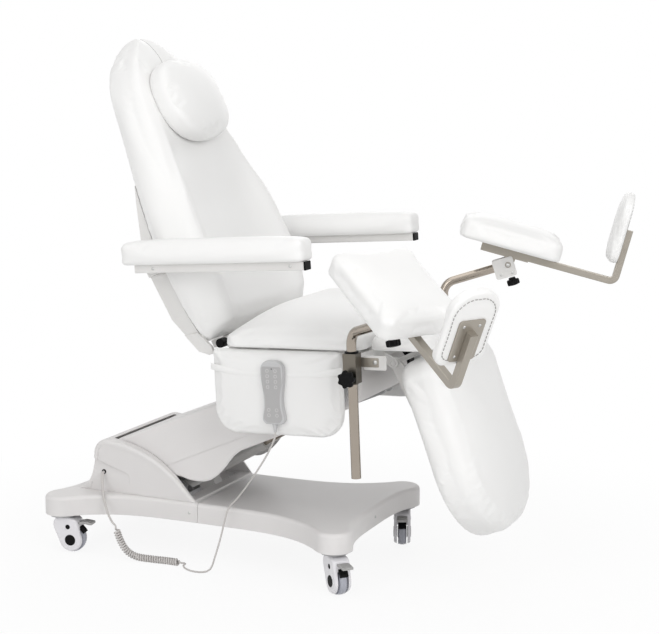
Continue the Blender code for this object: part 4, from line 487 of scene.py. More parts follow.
def carved(add, cut=(), ease=0.0):
    """Shapes joined, then cut, then eased along the new edges."""
    parts = []
    for n, shape in enumerate((*add, *cut)):
        parts.append(bpy.data.objects.new(f"shape_{n}", as_mesh(f"shape_{n}", shape)))
        scene.collection.objects.link(parts[-1])
    for n, tool in enumerate(parts[1:], 1):
        step = parts[0].modifiers.new(f"step_{n}", "BOOLEAN")
        step.operation = "UNION" if n < len(add) else "DIFFERENCE"
        step.solver = "EXACT"
        step.object = tool
    if ease:
        edge = parts[0].modifiers.new("ease", "BEVEL")
        edge.width = ease
        edge.segments = 2
        edge.limit_method = "ANGLE"
        edge.angle_limit = math.radians(40.0)
    made = bmesh.new()
    whole = solved(parts[0])
    made.from_mesh(whole)
    for part in parts:
        data = part.data
        bpy.data.objects.remove(part)
        bpy.data.meshes.remove(data)
    bpy.data.meshes.remove(whole)
    return made


def joined(*shapes):
    """Several closed shapes as one mesh."""
    made = bmesh.new()
    for shape in shapes:
        data = as_mesh("shape", shape)
        made.from_mesh(data)
        bpy.data.meshes.remove(data)
    return made


def piece(name, shape, material, body, *nodes, place=None, crease=38.0):
    """A finished mesh on its body, in the place of the solids that it stands for."""
    data = shape if isinstance(shape, bpy.types.Mesh) else as_mesh(name, shape)
    data.name = name
    if place is not None:
        data.transform(place)
        if place.determinant() < 0.0:
            data.flip_normals()
    data.materials.clear()
    data.materials.append(material)
    data.shade_smooth()
    data.set_sharp_from_angle(angle=math.radians(crease))
    made = bpy.data.objects.new(name, data)
    scene.collection.objects.link(made)
    flats = made.modifiers.new("flats", "WEIGHTED_NORMAL")
    flats.keep_sharp = True
    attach(made, body)
    if nodes:
        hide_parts(*nodes)
    return made


def node_group(name, inputs, nodes, links):
    """Geometry nodes with named inputs; what "put" lays out is made real and painted with Finish."""
    tree = bpy.data.node_groups.new(name, "GeometryNodeTree")
    for label, kind in (("Geometry", "Geometry"), *inputs, ("Finish", "Material")):
        tree.interface.new_socket(label, in_out="INPUT", socket_type="NodeSocket" + kind)
    tree.interface.new_socket("Geometry", in_out="OUTPUT", socket_type="NodeSocketGeometry")
    shared = (("entry", "NodeGroupInput"), ("put", "GeometryNodeInstanceOnPoints"),
              ("solid", "GeometryNodeRealizeInstances"), ("paint", "GeometryNodeSetMaterial"),
              ("leave", "NodeGroupOutput"))
    made = {}
    for label, kind, *settings in (*shared, *nodes):
        made[label] = tree.nodes.new(kind)
        for key, value in settings:
            setattr(made[label], key, value)
    for link in (*links, "put.Instances solid.Geometry", "solid.Geometry paint.Geometry",
                 "entry.Finish paint.Material", "paint.Geometry leave.Geometry"):
        (source, out), (target, into) = (end.split(".") for end in link.split())
        tree.links.new(made[source].outputs[out], made[target].inputs[into])
    return tree


def socket_name(tree, name):
    """The identifier of a node group's input."""
    return next(s.identifier for s in tree.interface.items_tree if s.name == name and s.in_out == "INPUT")


def repeated(name, points, edges, tree, inputs, body, outward=None):
    """A node group's result on some points, as a plain mesh on a body."""
    data = bpy.data.meshes.new(name)
    data.from_pydata([tuple(p) for p in points], edges, [])
    if outward:
        ways = data.attributes.new("outward", "FLOAT_VECTOR", "POINT")
        for way, value in zip(ways.data, outward):
            way.vector = value
    carrier = bpy.data.objects.new(name + "_points", data)
    scene.collection.objects.link(carrier)
    step = carrier.modifiers.new("repeat", "NODES")
    step.node_group = tree
    for key, value in inputs.items():
        step[socket_name(tree, key)] = value
    result = solved(carrier)
    bpy.data.objects.remove(carrier)
    bpy.data.meshes.remove(data)
    result.name = name
    made = bpy.data.objects.new(name, result)
    scene.collection.objects.link(made)
    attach(made, body)


def stock(name, shape):
    """A shape kept out of the scene, which node groups repeat."""
    return bpy.data.objects.new(name, as_mesh(name, shape))


SCREWS = node_group("screws_on_points", (("Screw", "Object"), ("Size", "Float")),
                    (("head", "GeometryNodeObjectInfo"),
                     ("way", "GeometryNodeInputNamedAttribute", ("data_type", "FLOAT_VECTOR")),
                     ("aim", "FunctionNodeAlignRotationToVector", ("axis", "Z"))),
                    ("entry.Geometry put.Points", "entry.Screw head.Object", "head.Geometry put.Instance",
                     "entry.Size put.Scale", "way.Attribute aim.Vector", "aim.Rotation put.Rotation"))
SCREWS.nodes["Named Attribute"].inputs["Name"].default_value = "outward"
cross = [bar((-0.62, -0.09, 0.16), (0.62, 0.09, 0.60)), bar((-0.09, -0.62, 0.16), (0.09, 0.62, 0.60))]
pan_profile = ((0.0, -0.35), (0.55, -0.35), (0.55, 0.0), (1.0, 0.0), (0.98, 0.14), (0.80, 0.32),
               (0.42, 0.43), (0.0, 0.46))
screw_head = stock("pan_head", carved([turned(pan_profile, "z", (0.0, 0.0), 24)], cross))
zinc = coat("screw_zinc", "stainless_steel", (0.50, 0.50, 0.49), (0.66, 0.66, 0.65), (700.0, 3.0),
            (0.24, 0.24), metallic=1.0)


def screws(name, spots, size, body, place=Matrix.Identity(4)):
    """Pan-head screws at (spot, outward way) pairs."""
    turn = place.to_3x3()
    repeated(name, [place @ Vector(p) for p, way in spots], [], SCREWS,
             {"Screw": screw_head, "Size": size, "Finish": zinc}, body,
             [turn @ Vector(way) for p, way in spots])


cover = coat("cover_moulding", "warm_grey_plastic", (0.708, 0.690, 0.682), (0.750, 0.733, 0.726), (5.0, 3.0),
             (0.40, 0.12), grain=(1700.0, 2.0), raised=(0.10, 0.0002))

SPAN_X = 0.843
SPAN_Y = 0.477
PLATE_BOTTOM = 0.112
PLATE_TOP = 0.168
PLATE_WALL = 0.004
PLATE_ROUND = 0.012
LOBE_R = 0.050
WAIST_IN = 0.0585
BOW_OUT = 0.0155
SPLIT_X = -0.020
SPLIT_GAP = 0.0012
TOWER_HALF = 0.200
TOWER_TOP = 0.325
TOWER_DRAFT = 0.745
CHANNEL_HALF = 0.168
PIVOT = (-0.240, 0.250)
DRUM_ROOM = 0.091
WELL = 0.170


def plate_outline(inset=0.0):
    """The base from above: round caster corners, sides and ends drawn in between them."""
    corner = (SPAN_X / 2.0, SPAN_Y / 2.0)
    lobe = arc(corner, LOBE_R - inset, 136.0, -20.0, 22)
    side_end, front_end = lobe[0], lobe[-1]
    waist = corner[1] - WAIST_IN - inset
    bow = corner[0] + BOW_OUT - inset
    side = [(side_end[0] * n / 20.0, waist + (side_end[1] - waist) * (n / 20.0) ** 4) for n in range(20)]
    front = [(bow + (front_end[0] - bow) * (n / 8.0) ** 4, front_end[1] * n / 8.0) for n in range(7, -1, -1)]
    quarter = side + lobe + front
    half = quarter + [(x, -y) for x, y in reversed(quarter[:-1])]
    return half + [(-x, y) for x, y in reversed(half[1:-1])]


def plate():
    """The moulded plate with its rounded top rim."""
    rims = [(0.0, PLATE_BOTTOM), (0.0, PLATE_TOP - PLATE_ROUND)]
    for n in range(1, 7):
        turn = math.pi * n / 12.0
        rims.append((PLATE_ROUND * (1.0 - math.cos(turn)), PLATE_TOP - PLATE_ROUND * (1.0 - math.sin(turn))))
    return skin([[(x, y, z) for x, y in plate_outline(inset)] for inset, z in rims])


def plate_room():
    return slab(plate_outline(PLATE_WALL), "z", PLATE_BOTTOM - PLATE_WALL, PLATE_TOP - PLATE_WALL)


front_side = bar((SPLIT_X - SPLIT_GAP / 2.0, -FAR, -FAR), (FAR, FAR, FAR))
rear_side = bar((-FAR, -FAR, -FAR), (SPLIT_X + SPLIT_GAP / 2.0, FAR, FAR))
front_cover = carved([plate()], [plate_room(), rear_side], 0.0008)
piece("front_cover", front_cover, cover, "base", "base_front_cover", place=FLOOR)

foot_z = PLATE_TOP - PLATE_WALL
brow = (-0.312, foot_z - 0.160)
crown = (-0.298, 0.275)
tower_side = [(-0.026, foot_z)] + arc(brow, 0.320, 41.0, 82.0, 26) + arc(crown, 0.050, 90.0, 175.0, 14)
rear_sweep = ((-0.3500, 0.0, 0.2700), (-0.3520, 0.0, 0.2560), (-0.3560, 0.0, 0.2380), (-0.3620, 0.0, 0.2180),
              (-0.3740, 0.0, 0.1960), (-0.3930, 0.0, 0.1790), (-0.4120, 0.0, 0.1700), (-0.4220, 0.0, foot_z))
tower_side += [(p.x, p.z) for p in laid(rear_sweep, 0.008)]
field = [(-0.062, foot_z + 0.006)] + arc(brow, 0.304, 42.0, 81.0, 20) + arc(crown, 0.036, 90.0, 172.0, 8)
field += [(-0.340, 0.238), (-0.352, 0.206), (-0.372, foot_z + 0.006)]


def leaned(shape):
    """The tower's sides drawn in towards its foot, as its mould is drafted."""
    for corner in shape.verts:
        corner.co.y *= 1.0 - TOWER_DRAFT * (TOWER_TOP - corner.co.z)
    return shape


def panel_ring(grow, depth):
    """The cord's recess: open to the rear, sloping along its top and running out at its foot."""
    outline = arc((-0.251, 0.2175), 0.012 + grow, 0.0, 71.6, 8)
    outline += [(-0.400, 0.2798 + 1.054 * grow), (-0.400, PANEL_FOOT), (-0.239 + grow, PANEL_FOOT)]
    return [(x, -TOWER_HALF + depth(z), z) for x, z in outline]


PANEL_FOOT = 0.193
panel_mouth = [panel_ring(0.0038, lambda z: -0.010), panel_ring(0.0034, lambda z: 0.0)]
panel_floor = panel_ring(0.0, lambda z: 0.0016 + 0.170 * (z - PANEL_FOOT))
tower_cuts = [plate_room(), front_side,
              turned(((DRUM_ROOM, -CHANNEL_HALF), (DRUM_ROOM, CHANNEL_HALF)), "y", PIVOT, 64),
              bar((PIVOT[0] - DRUM_ROOM, -CHANNEL_HALF, PLATE_TOP + 0.002),
                  (PIVOT[0] + WELL, CHANNEL_HALF, PIVOT[1])),
              bar((PIVOT[0] - DRUM_ROOM, -0.153, 0.0), (PIVOT[0] + WELL, 0.153, PIVOT[1])),
              bar((PIVOT[0], -CHANNEL_HALF, PLATE_TOP + 0.004), (FAR, CHANNEL_HALF, FAR)),
              leaned(skin([*panel_mouth, panel_floor]))]
for side in (-1.0, 1.0):
    tower_cuts.append(leaned(slab(field, "y", side * (TOWER_HALF - 0.0022), side * (TOWER_HALF + 0.010))))
CORD_HOLE = (-0.322, 0.226)
tower_cuts.append(turned(((0.0052, -0.2200), (0.0052, -0.1715)), "y", CORD_HOLE, 24))
tower = leaned(slab(tower_side, "y", -TOWER_HALF, TOWER_HALF, 0.010, 5))
rear_cover = carved([plate(), tower], tower_cuts, 0.0012)
piece("rear_cover", rear_cover, cover, "base", "base_rear_cover", place=FLOOR)
eyelet = turned(((0.0050, -0.1808), (0.0060, -0.1810), (0.0066, -0.1802), (0.0068, -0.1782),
                 (0.0068, -0.1728), (0.0050, -0.1728), (0.0048, -0.1762), (0.0050, -0.1808)), "y",
                CORD_HOLE, 32)
piece("cord_eyelet", eyelet, black, "base", place=FLOOR)
COVER_SCREW_Z = 0.1385
cover_spots = []
for side in (-1.0, 1.0):
    cover_spots += [((-0.046, side * 0.1802, COVER_SCREW_Z), (0.0, side, 0.0)),
                    ((-side * 0.4372, 0.0, COVER_SCREW_Z), (-side, 0.0, 0.0))]
screws("cover_screws", cover_spots, 0.0042, "base", FLOOR)


# Casters: twin white nylon halves over a grey polyurethane wheel, on a zinc stem under each corner.
# A black cap closes the axle, a black button covers the fork's rivet, and a grey pedal presses a brake shoe.
def hull(points):
    return [points[n] for n in convex_hull_2d(points)]


nylon = coat("caster_nylon", "caster_shell", (0.74, 0.73, 0.755), (0.80, 0.79, 0.815), (40.0, 3.0),
             (0.16, 0.14), also={"Coat Weight": 0.3})
rubber = coat("tyre_polyurethane", "wheel_polyurethane", (0.33, 0.34, 0.38), (0.46, 0.47, 0.53),
              (260.0, 4.0), (0.24, 0.25), raised=(0.15, 0.0004))
tread_grey = coat("pedal_nylon", "pedal_grey", (0.32, 0.315, 0.31), (0.42, 0.415, 0.41), (500.0, 3.0),
                  (0.32, 0.22))

WHEEL_R = 0.0375
TRAIL = 0.028
SHELL_HALF = 0.024
SLOT_HALF = 0.0152
SLOT_R = 0.0405
SHELL_TOP = 0.1015
CASTER_TOP = 0.104
COLLAR_R = 0.0225
COLLAR_TOP = 0.1026
PEDAL_AT = (0.0545, 0.0, 0.086)
BUTTON_AT = (0.0215, 0.0755)
tyre_tooth = stock("tyre_tooth", bar((-0.9, -0.28, -0.3), (0.9, 0.28, 0.30), 0.12))
TEETH = node_group("ring_of_teeth",
                   (("Tooth", "Object"), ("Size", "Float"), ("Count", "Int"), ("Radius", "Float"),
                    ("Turn", "Vector")),
                   (("ring", "GeometryNodeCurvePrimitiveCircle", ("mode", "RADIUS")),
                    ("spots", "GeometryNodeCurveToPoints"), ("head", "GeometryNodeObjectInfo"),
                    ("teeth", "GeometryNodeInstanceOnPoints"), ("turn", "FunctionNodeEulerToRotation")),
                   ("entry.Radius ring.Radius", "ring.Curve spots.Curve", "entry.Count spots.Count",
                    "entry.Tooth head.Object", "spots.Points teeth.Points", "spots.Rotation teeth.Rotation",
                    "head.Geometry teeth.Instance", "entry.Size teeth.Scale", "entry.Geometry put.Points",
                    "teeth.Instances put.Instance", "entry.Turn turn.Euler", "turn.Rotation put.Rotation"))
TEETH_AT = 0.0108
for corner, turn in (("rear_right", 10.0), ("front_right", -42.0), ("rear_left", 28.0),
                     ("front_left", -68.0)):
    x = SPAN_X / 2.0 if "front" in corner else -SPAN_X / 2.0
    y = SPAN_Y / 2.0 if "left" in corner else -SPAN_Y / 2.0
    swivel = frame_at(FLOOR, (x, y, 0.0), 0.0, turn)
    stays = f"caster_{corner}"
    side = hull(arc((TRAIL, WHEEL_R), 0.0335, 0.0, 360.0, 48)[:-1]
                + arc((0.002, SHELL_TOP - 0.022), 0.026, 90.0, 200.0, 16)
                + arc((TRAIL, SHELL_TOP - 0.026), 0.026, 40.0, 75.0, 8))
    slot = turned(((SLOT_R, -SLOT_HALF), (SLOT_R, SLOT_HALF)), "y", (TRAIL, WHEEL_R), 64)
    button_wells = [turned(((0.0072, s * SHELL_HALF - 0.0016), (0.0072, s * SHELL_HALF + 0.0016)), "y",
                           BUTTON_AT, 20) for s in (-1.0, 1.0)]
    collar = turned(((0.0, SHELL_TOP - 0.016), (COLLAR_R, SHELL_TOP - 0.016),
                     (COLLAR_R, COLLAR_TOP - 0.0015), (COLLAR_R - 0.0015, COLLAR_TOP), (0.0, COLLAR_TOP)),
                    "z", (0.0, 0.0), 48)
    lug = bar((TRAIL + 0.004, -0.0075, 0.081), (0.0502, 0.0075, 0.091), 0.001)
    shell = slab(side, "y", -SHELL_HALF, SHELL_HALF, 0.0065, 5)
    shell = carved([shell, lug, collar], [slot, *button_wells], 0.0006)
    piece(f"caster_{corner}_body", shell, nylon, stays, f"caster_{corner}_shell", place=swivel)
    stem = turned(((0.0, COLLAR_TOP), (0.0195, COLLAR_TOP), (0.0195, CASTER_TOP - 0.0006),
                   (0.0, CASTER_TOP - 0.0006)), "z", (0.0, 0.0), 32)
    piece(f"caster_{corner}_stem", stem, zinc, stays, place=swivel)
    shoe = arc((TRAIL, WHEEL_R), 0.0388, 26.0, 74.0, 8) + arc((TRAIL, WHEEL_R), 0.0452, 68.0, 28.0, 8)
    trims = [slab(shoe, "y", -0.0120, 0.0120, 0.0012)]
    for s in (-1.0, 1.0):
        face = s * SHELL_HALF
        cap = ((0.0, -0.010), (0.0158, -0.010), (0.0158, 0.0003), (0.0150, 0.0010), (0.0, 0.0014))
        trims.append(turned([(r, face + s * out) for r, out in cap], "y", (TRAIL, WHEEL_R), 40))
        button = ((0.0, -0.0020), (0.0068, -0.0020), (0.0068, -0.0004), (0.0048, 0.0006), (0.0, 0.0009))
        trims.append(turned([(r, face + s * out) for r, out in button], "y", BUTTON_AT, 24))
    piece(f"caster_{corner}_caps", joined(*trims), black, stays, place=swivel)
    axle = frame_at(swivel, (TRAIL, 0.0, WHEEL_R))
    flank = ((0.0, -0.0126), (0.015, -0.0126), (0.022, -0.0112), (0.0300, -0.0110), (0.0345, -0.0096),
             (0.0366, -0.0072), (0.0374, -0.0040))
    tyre = turned((*flank, (WHEEL_R, 0.0), *((r, -y) for r, y in reversed(flank))), "y", (0.0, 0.0), 64)
    piece(f"caster_{corner}_tyre", tyre, rubber, f"wheel_{corner}", f"caster_{corner}_wheel", place=axle)
    aim = (axle.to_3x3() @ Matrix.Rotation(math.pi / 2.0, 3, "X")).to_euler()
    flanks = [axle @ Vector((0.0, s * TEETH_AT, 0.0)) for s in (-1.0, 1.0)]
    repeated(f"caster_{corner}_teeth", flanks, [], TEETH,
             {"Tooth": tyre_tooth, "Size": 0.0028, "Count": 32, "Radius": 0.0340, "Turn": tuple(aim),
              "Finish": rubber}, f"wheel_{corner}")
    hinge = frame_at(swivel, PEDAL_AT)
    step = arc((0.0, 0.0), 0.0040, 70.0, 260.0, 10) + [(0.010, -0.0010), (0.030, -0.0038)]
    step += arc((0.0345, -0.0023), 0.0015, 270.0, 360.0, 4) + arc((0.0335, 0.0007), 0.0025, 0.0, 80.0, 4)
    step += [(0.020, 0.0052), (0.010, 0.0062)]
    ribs = [bar((x, -0.0125, 0.003), (x + 0.0016, 0.0125, 0.0064 - 0.06 * (x - 0.014)), 0.0003)
            for x in (0.014, 0.0195, 0.025)]
    pedal = joined(slab(step, "y", -0.015, 0.015, 0.0015, 3), *ribs)
    piece(f"caster_{corner}_step", pedal, tread_grey, f"pedal_{corner}", f"caster_{corner}_pedal",
          place=hinge)


# Lift: a twin-bar steel arm under a long moulded cover, with its levelling link, lift head and actuator.
# The cover is one shell with round ends and a skirt over the actuator; a shallow line runs along each side.
ARM = frame_at(FLOOR, (-0.240, 0.0, 0.250), 23.63)
ARM_L = 0.6986
ARM_HALF = 0.165
ARM_WALL = 0.004


def cover_side(inset):
    tail_r = 0.083 - inset
    nose_r = 0.066 - inset
    belly = -0.117 + inset
    upper = arc((0.0, 0.0), tail_r, 180.0, 92.0, 24) + arc((ARM_L, 0.0), nose_r, 88.0, -80.0, 32)
    skirt = [(ARM_L * 0.50, 0.0, -nose_r - 0.004), (0.320, 0.0, belly + 0.038), (0.265, 0.0, belly + 0.010),
             (0.215, 0.0, belly), (0.165, 0.0, belly + 0.018), (0.125, 0.0, belly + 0.044),
             (0.030, 0.0, -0.045), (-0.040, 0.0, -0.030)]
    return upper + [(p.x, p.z) for p in laid(skirt, 0.012)]


room = slab(cover_side(ARM_WALL), "y", -ARM_HALF + ARM_WALL, ARM_HALF - ARM_WALL, 0.006, 3)
below = slab([(-0.166, 0.006), (-0.020, 0.006), (0.030, -0.025), (0.7316, -0.020), (0.7316, -0.35),
              (-0.166, -0.35)], "y", -ARM_HALF + ARM_WALL, ARM_HALF - ARM_WALL)
bore = turned(((0.0129, -FAR), (0.0129, FAR)), "y", (ARM_L, 0.0), 32)
lines = [bar((0.055, s * ARM_HALF - 0.0016, -0.0369), (0.605, s * ARM_HALF + 0.0016, -0.0351))
         for s in (-1.0, 1.0)]
arm_shell = slab(cover_side(0.0), "y", -ARM_HALF, ARM_HALF, 0.0085, 5)
arm_shell = carved([arm_shell], [room, below, bore, *lines])
piece("arm_shell", arm_shell, cover, "arm", "arm_cover", place=ARM)
for node in ("lift_arm", "level_link", "lift_head"):
    soften(node, steel, 0.0012)
motor = coat("actuator_housing", "black_plastic", (0.48, 0.47, 0.46), (0.56, 0.55, 0.54), (1200.0, 2.0),
             (0.38, 0.16))
soften("lift_actuator", motor, 0.002)



def drawn_steel(name, metallic, stretch, detail, low, high, rough):
    """Stainless steel with fine lines along its length and a faint cloud in its tone."""
    made, shader, here = finish(name, "stainless_steel", metallic)
    lines = noise(here.node("ShaderNodeMapping", None, {"Vector": here, "Scale": stretch}), 1.0, detail)
    noise(here, 14.0, 3.0).tint(low, high).into(shader, "Base Color")
    (rough[0] + rough[1] * lines).into(shader, "Roughness")
    return made


# Painted reflection: the warm brown in both steel tints stands in for beige surroundings seen in the metal,
# not the steel's own colour.
bright = drawn_steel("stainless", 0.6, (150.0, 150.0, 4.0), 3.0, (0.335, 0.306, 0.264),
                     (0.405, 0.373, 0.325), (0.27, 0.06))
polished = drawn_steel("stainless_tube", 1.0, (400.0, 400.0, 9.0), 2.0, (0.352, 0.308, 0.262),
                       (0.414, 0.366, 0.315), (0.11, 0.08))
soften("lift_rod", polished, 0.0006)


# Seat frame: welded square tube, powder-coated white, with stainless sockets for the posts at its front.
# It is the frame's own solid; the sockets beyond the aprons are bare metal.
paint = coat("white_powder_coat", "white_paint", (0.68, 0.67, 0.655), (0.76, 0.75, 0.735), (9.0, 3.0),
             (0.30, 0.14), grain=(620.0, 2.0), raised=(0.12, 0.0003))
two_tone, two_shader, here = finish("frame_paint_and_sockets", "white_paint")
SOCKET_FROM = 0.3105
metal = ((here.axis("Y") - FLOOR.translation.y).size() - SOCKET_FROM).rise(-0.0004, 0.0004)
orange_peel = noise(here, 620.0, 2.0)
# Painted reflection and shade: the sockets are bare steel, and their dark warm brown stands in for dim beige
# surroundings seen in the metal.
metal.tint((0.72, 0.71, 0.695), (0.165, 0.150, 0.127)).into(two_shader, "Base Color")
metal.into(two_shader, "Metallic")
(0.26 + 0.14 * orange_peel).into(two_shader, "Roughness")
relief(two_shader, orange_peel, 0.10, 0.0003)
soften("seat_frame", two_tone, 0.0016)
soften("back_actuator", black, 0.002)
soften("back_rod", polished, 0.0006)


# Seat cushion: foam under white leatherette, crowned, drawn in along its sides and lower towards the back.
# Each cushion is swelled by a short cloth pass from a slightly smaller shape, then kept as a plain mesh.
leather, leather_shader, here = finish("white_leatherette", "white_leatherette")
pebble = here.node("ShaderNodeTexVoronoi", {"feature": "F1"}, {"Vector": here, "Scale": 950.0})
soil = noise(here, 7.0, 4.0)
soil.tint((0.822, 0.818, 0.808), (0.862, 0.859, 0.852)).into(leather_shader, "Base Color")
(0.34 + 0.10 * pebble + 0.10 * soil).into(leather_shader, "Roughness")
relief(leather_shader, pebble, 0.10, 0.0004)
leather_shader.inputs["Sheen Weight"].default_value = 0.05


def pad_plan(low, high, half, corner, pull, far=None):
    """A cushion from above: round corners, and sides that pull in between them."""
    far = corner if far is None else far
    corners = (((high - far, -half + far), far, -90.0, 0.0), ((high - far, half - far), far, 0.0, 90.0),
               ((low + corner, half - corner), corner, 90.0, 180.0),
               ((low + corner, -half + corner), corner, 180.0, 270.0))
    points = []
    for n, (centre, radius, start, stop) in enumerate(corners):
        bend = arc(centre, radius, start, stop, 10)
        ahead = corners[(n + 1) % 4]
        run = Vector(arc(ahead[0], ahead[1], ahead[2], ahead[3], 1)[0]) - Vector(bend[-1])
        points += bend
        if run.length < 4.0 * pull:
            continue
        inward = Vector((-run.y, run.x)).normalized()
        for k in range(1, 16):
            share = k / 16.0
            points.append(tuple(Vector(bend[-1]) + run * share + inward * pull * math.sin(math.pi * share)))
    return points, Vector(((low + high) / 2.0, 0.0))


def pad(plan, thick, edge, crown, draw, slim=0.0, shape=None):
    """A stuffed pad: flat below, round edges, sides drawn in at mid height, crowned top."""
    outline, middle = plan
    half_l = max(abs(p[0] - middle.x) for p in outline)
    half_w = max(abs(p[1] - middle.y) for p in outline)
    foot = 0.45 * edge
    eighths = [math.pi * n / 12.0 for n in range(7)]
    levels = [(foot * (1.0 - math.sin(t)), foot * (1.0 - math.cos(t))) for t in eighths[::2]]
    levels += [(draw * math.sin(2.0 * t), foot + (thick - edge - foot) * n / 6.0)
               for n, t in enumerate(eighths) if n]
    levels += [(edge * (1.0 - math.cos(t)), thick - edge * (1.0 - math.sin(t))) for t in eighths[1:]]

    def ring(share, inset, height):
        thin_l = share * (1.0 - (inset + slim) / half_l)
        thin_w = share * (1.0 - (inset + slim) / half_w)
        return [(middle.x + (p - middle.x) * thin_l, middle.y + (q - middle.y) * thin_w, height)
                for p, q in outline]

    rings = [[(middle.x, middle.y, 0.0)]]
    rings += [ring(1.0, inset, height) for inset, height in levels]
    for n in range(11, 0, -1):
        rings.append(ring(n / 12.0, edge, thick - slim + crown * (1.0 - (n / 12.0) ** 2.6)))
    rings.append([(middle.x, middle.y, thick - slim + crown)])
    if shape:
        rings = [[shape(*p) for p in ring] for ring in rings]
    return skin(rings)


SWELL_FRAMES = 20
SLIM = 0.002
CLOTH = {"quality": 4, "mass": 0.4, "tension_stiffness": 12.0, "compression_stiffness": 12.0,
         "shear_stiffness": 6.0, "bending_stiffness": 0.6, "use_pressure": True,
         "uniform_pressure_force": 4.0, "vertex_group_mass": "held"}


def stuffed(name, shape, voxel, cap, held):
    """A shape swelled by a cloth pass; held(point) names what the board or the seams hold still."""
    data = as_mesh(name, shape)
    form = bpy.data.objects.new(name, data)
    scene.collection.objects.link(form)
    grid = form.modifiers.new("grid", "REMESH")
    grid.mode = "VOXEL"
    grid.voxel_size = voxel
    even = form.modifiers.new("even", "SMOOTH")
    even.factor = 0.5
    even.iterations = 4
    plain = solved(form)
    form.modifiers.clear()
    form.data = plain
    bpy.data.meshes.remove(data)
    start = [v.co.copy() for v in plain.vertices]
    group = form.vertex_groups.new(name="held")
    group.add([n for n, p in enumerate(start) if held(p)], 1.0, "REPLACE")
    cloth = form.modifiers.new("swell", "CLOTH")
    for key, value in CLOTH.items():
        setattr(cloth.settings, key, value)
    cloth.settings.effector_weights.gravity = 0.0
    cloth.collision_settings.use_self_collision = False
    cloth.point_cache.frame_start = 1
    cloth.point_cache.frame_end = SWELL_FRAMES
    for n in range(1, SWELL_FRAMES + 1):
        scene.frame_set(n)
    moved = solved(form)
    form.modifiers.clear()
    scene.frame_set(1)
    for n, v in enumerate(moved.vertices):
        step = v.co - start[n]
        if step.length > cap:
            v.co = start[n] + step * (cap / step.length)
    form.data = moved
    bpy.data.meshes.remove(plain)
    fine = form.modifiers.new("fine", "SUBSURF")
    fine.levels = 1
    fine.render_levels = 1
    result = solved(form)
    left = form.data
    bpy.data.objects.remove(form)
    bpy.data.meshes.remove(left)
    return result


SOFT_CREASE = 70.0
HELD_BELOW = 0.004


def padding(name, mesh, body, node, place):
    """A finished cushion on its body."""
    made = piece(name, mesh.copy(), leather, body, node, place=place, crease=SOFT_CREASE)


def on_board(p):
    return p.z < HELD_BELOW


SEAT_REAR = -0.240


def lower_rear(x, y, z):
    """The seat's top comes down towards the back."""
    share = min(max((x - SEAT_REAR) / 0.16, 0.0), 1.0)
    return (x, y, z * (0.66 + 0.34 * share * (2.0 - share)))


seat_shape = pad(pad_plan(SEAT_REAR, 0.168, 0.300, 0.040, 0.004), 0.046, 0.022, 0.062, 0.003, SLIM,
                 lower_rear)
seat_form = stuffed("seat_form", seat_shape, 0.006, 0.006, on_board)
padding("seat_pad", seat_form, "seat", "seat_cushion", SEAT @ Matrix.Translation((0.0, 0.0, 0.0463)))


# Front flap: a soft padded tongue of leatherette that bridges the gap from the seat to the leg rest.
# It is sewn to the seat's front edge.
FLAP_REAR = 0.1695
flap_shape = pad(pad_plan(FLAP_REAR, 0.335, 0.262, 0.012, 0.001, 0.060), 0.038, 0.016, 0.006, 0.001, SLIM)
flap_form = stuffed("flap_form", flap_shape, 0.005, 0.005, on_board)
flap_stand = SEAT @ Matrix.Translation((0.0, 0.0, 0.0440))
flap = piece("seat_front_flap", flap_form, leather, "seat", place=flap_stand, crease=SOFT_CREASE)
SEAT.to_3x3() @ Vector((1.0, 0.0, 0.0))
SEAT @ Vector((FLAP_REAR, 0.0, 0.060))
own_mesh(flap)


# Aprons: padded leatherette flaps on the seat's sides, with round lower corners.
# A flat welt is sewn across each one, proud of the panel and sagging a little in its middle.
APRON_INNER = 0.270
apron_outline = (arc((0.037, -0.117), 0.070, -90.0, 0.0, 14) + arc((0.095, 0.0337), 0.012, 0.0, 90.0, 6)
                 + arc((-0.259, 0.0337), 0.012, 90.0, 180.0, 6)
                 + arc((-0.201, -0.117), 0.070, 180.0, 270.0, 14))
apron_shape = pad((apron_outline, Vector((-0.082, -0.0707))), 0.022, 0.010, 0.008, 0.001, SLIM)
apron_form = stuffed("apron_form", apron_shape, 0.005, 0.005, on_board)
STITCHES = node_group("stitches_along_path", (("Stitch", "Object"), ("Size", "Float"), ("Pitch", "Float")),
                      (("line", "GeometryNodeMeshToCurve"),
                       ("spots", "GeometryNodeCurveToPoints", ("mode", "LENGTH")),
                       ("thread", "GeometryNodeObjectInfo")),
                      ("entry.Geometry line.Mesh", "line.Curve spots.Curve", "entry.Pitch spots.Length",
                       "entry.Stitch thread.Object", "spots.Points put.Points",
                       "spots.Rotation put.Rotation", "thread.Geometry put.Instance",
                       "entry.Size put.Scale"))
capsule = ((0.0, -0.5), (0.10, -0.46), (0.16, -0.30), (0.17, 0.0), (0.16, 0.30), (0.10, 0.46), (0.0, 0.5))
stitch = stock("stitch", turned(capsule, "z", (0.0, 0.0), 6))
# Painted shade: the stitches are real, and their dark grey stands in for the shade in the stitch holes along
# the hem.
thread = coat("thread_painted_hole_shade", "white_leatherette", (0.28, 0.275, 0.265), (0.44, 0.43, 0.42), (3000.0, 2.0),
              0.6)


def stitched(name, path, size, pitch, body):
    """A row of stitches round a closed path of points."""
    edges = [(n, (n + 1) % len(path)) for n in range(len(path))]
    repeated(name, path, edges, STITCHES,
             {"Stitch": stitch, "Size": size, "Pitch": pitch, "Finish": thread}, body)


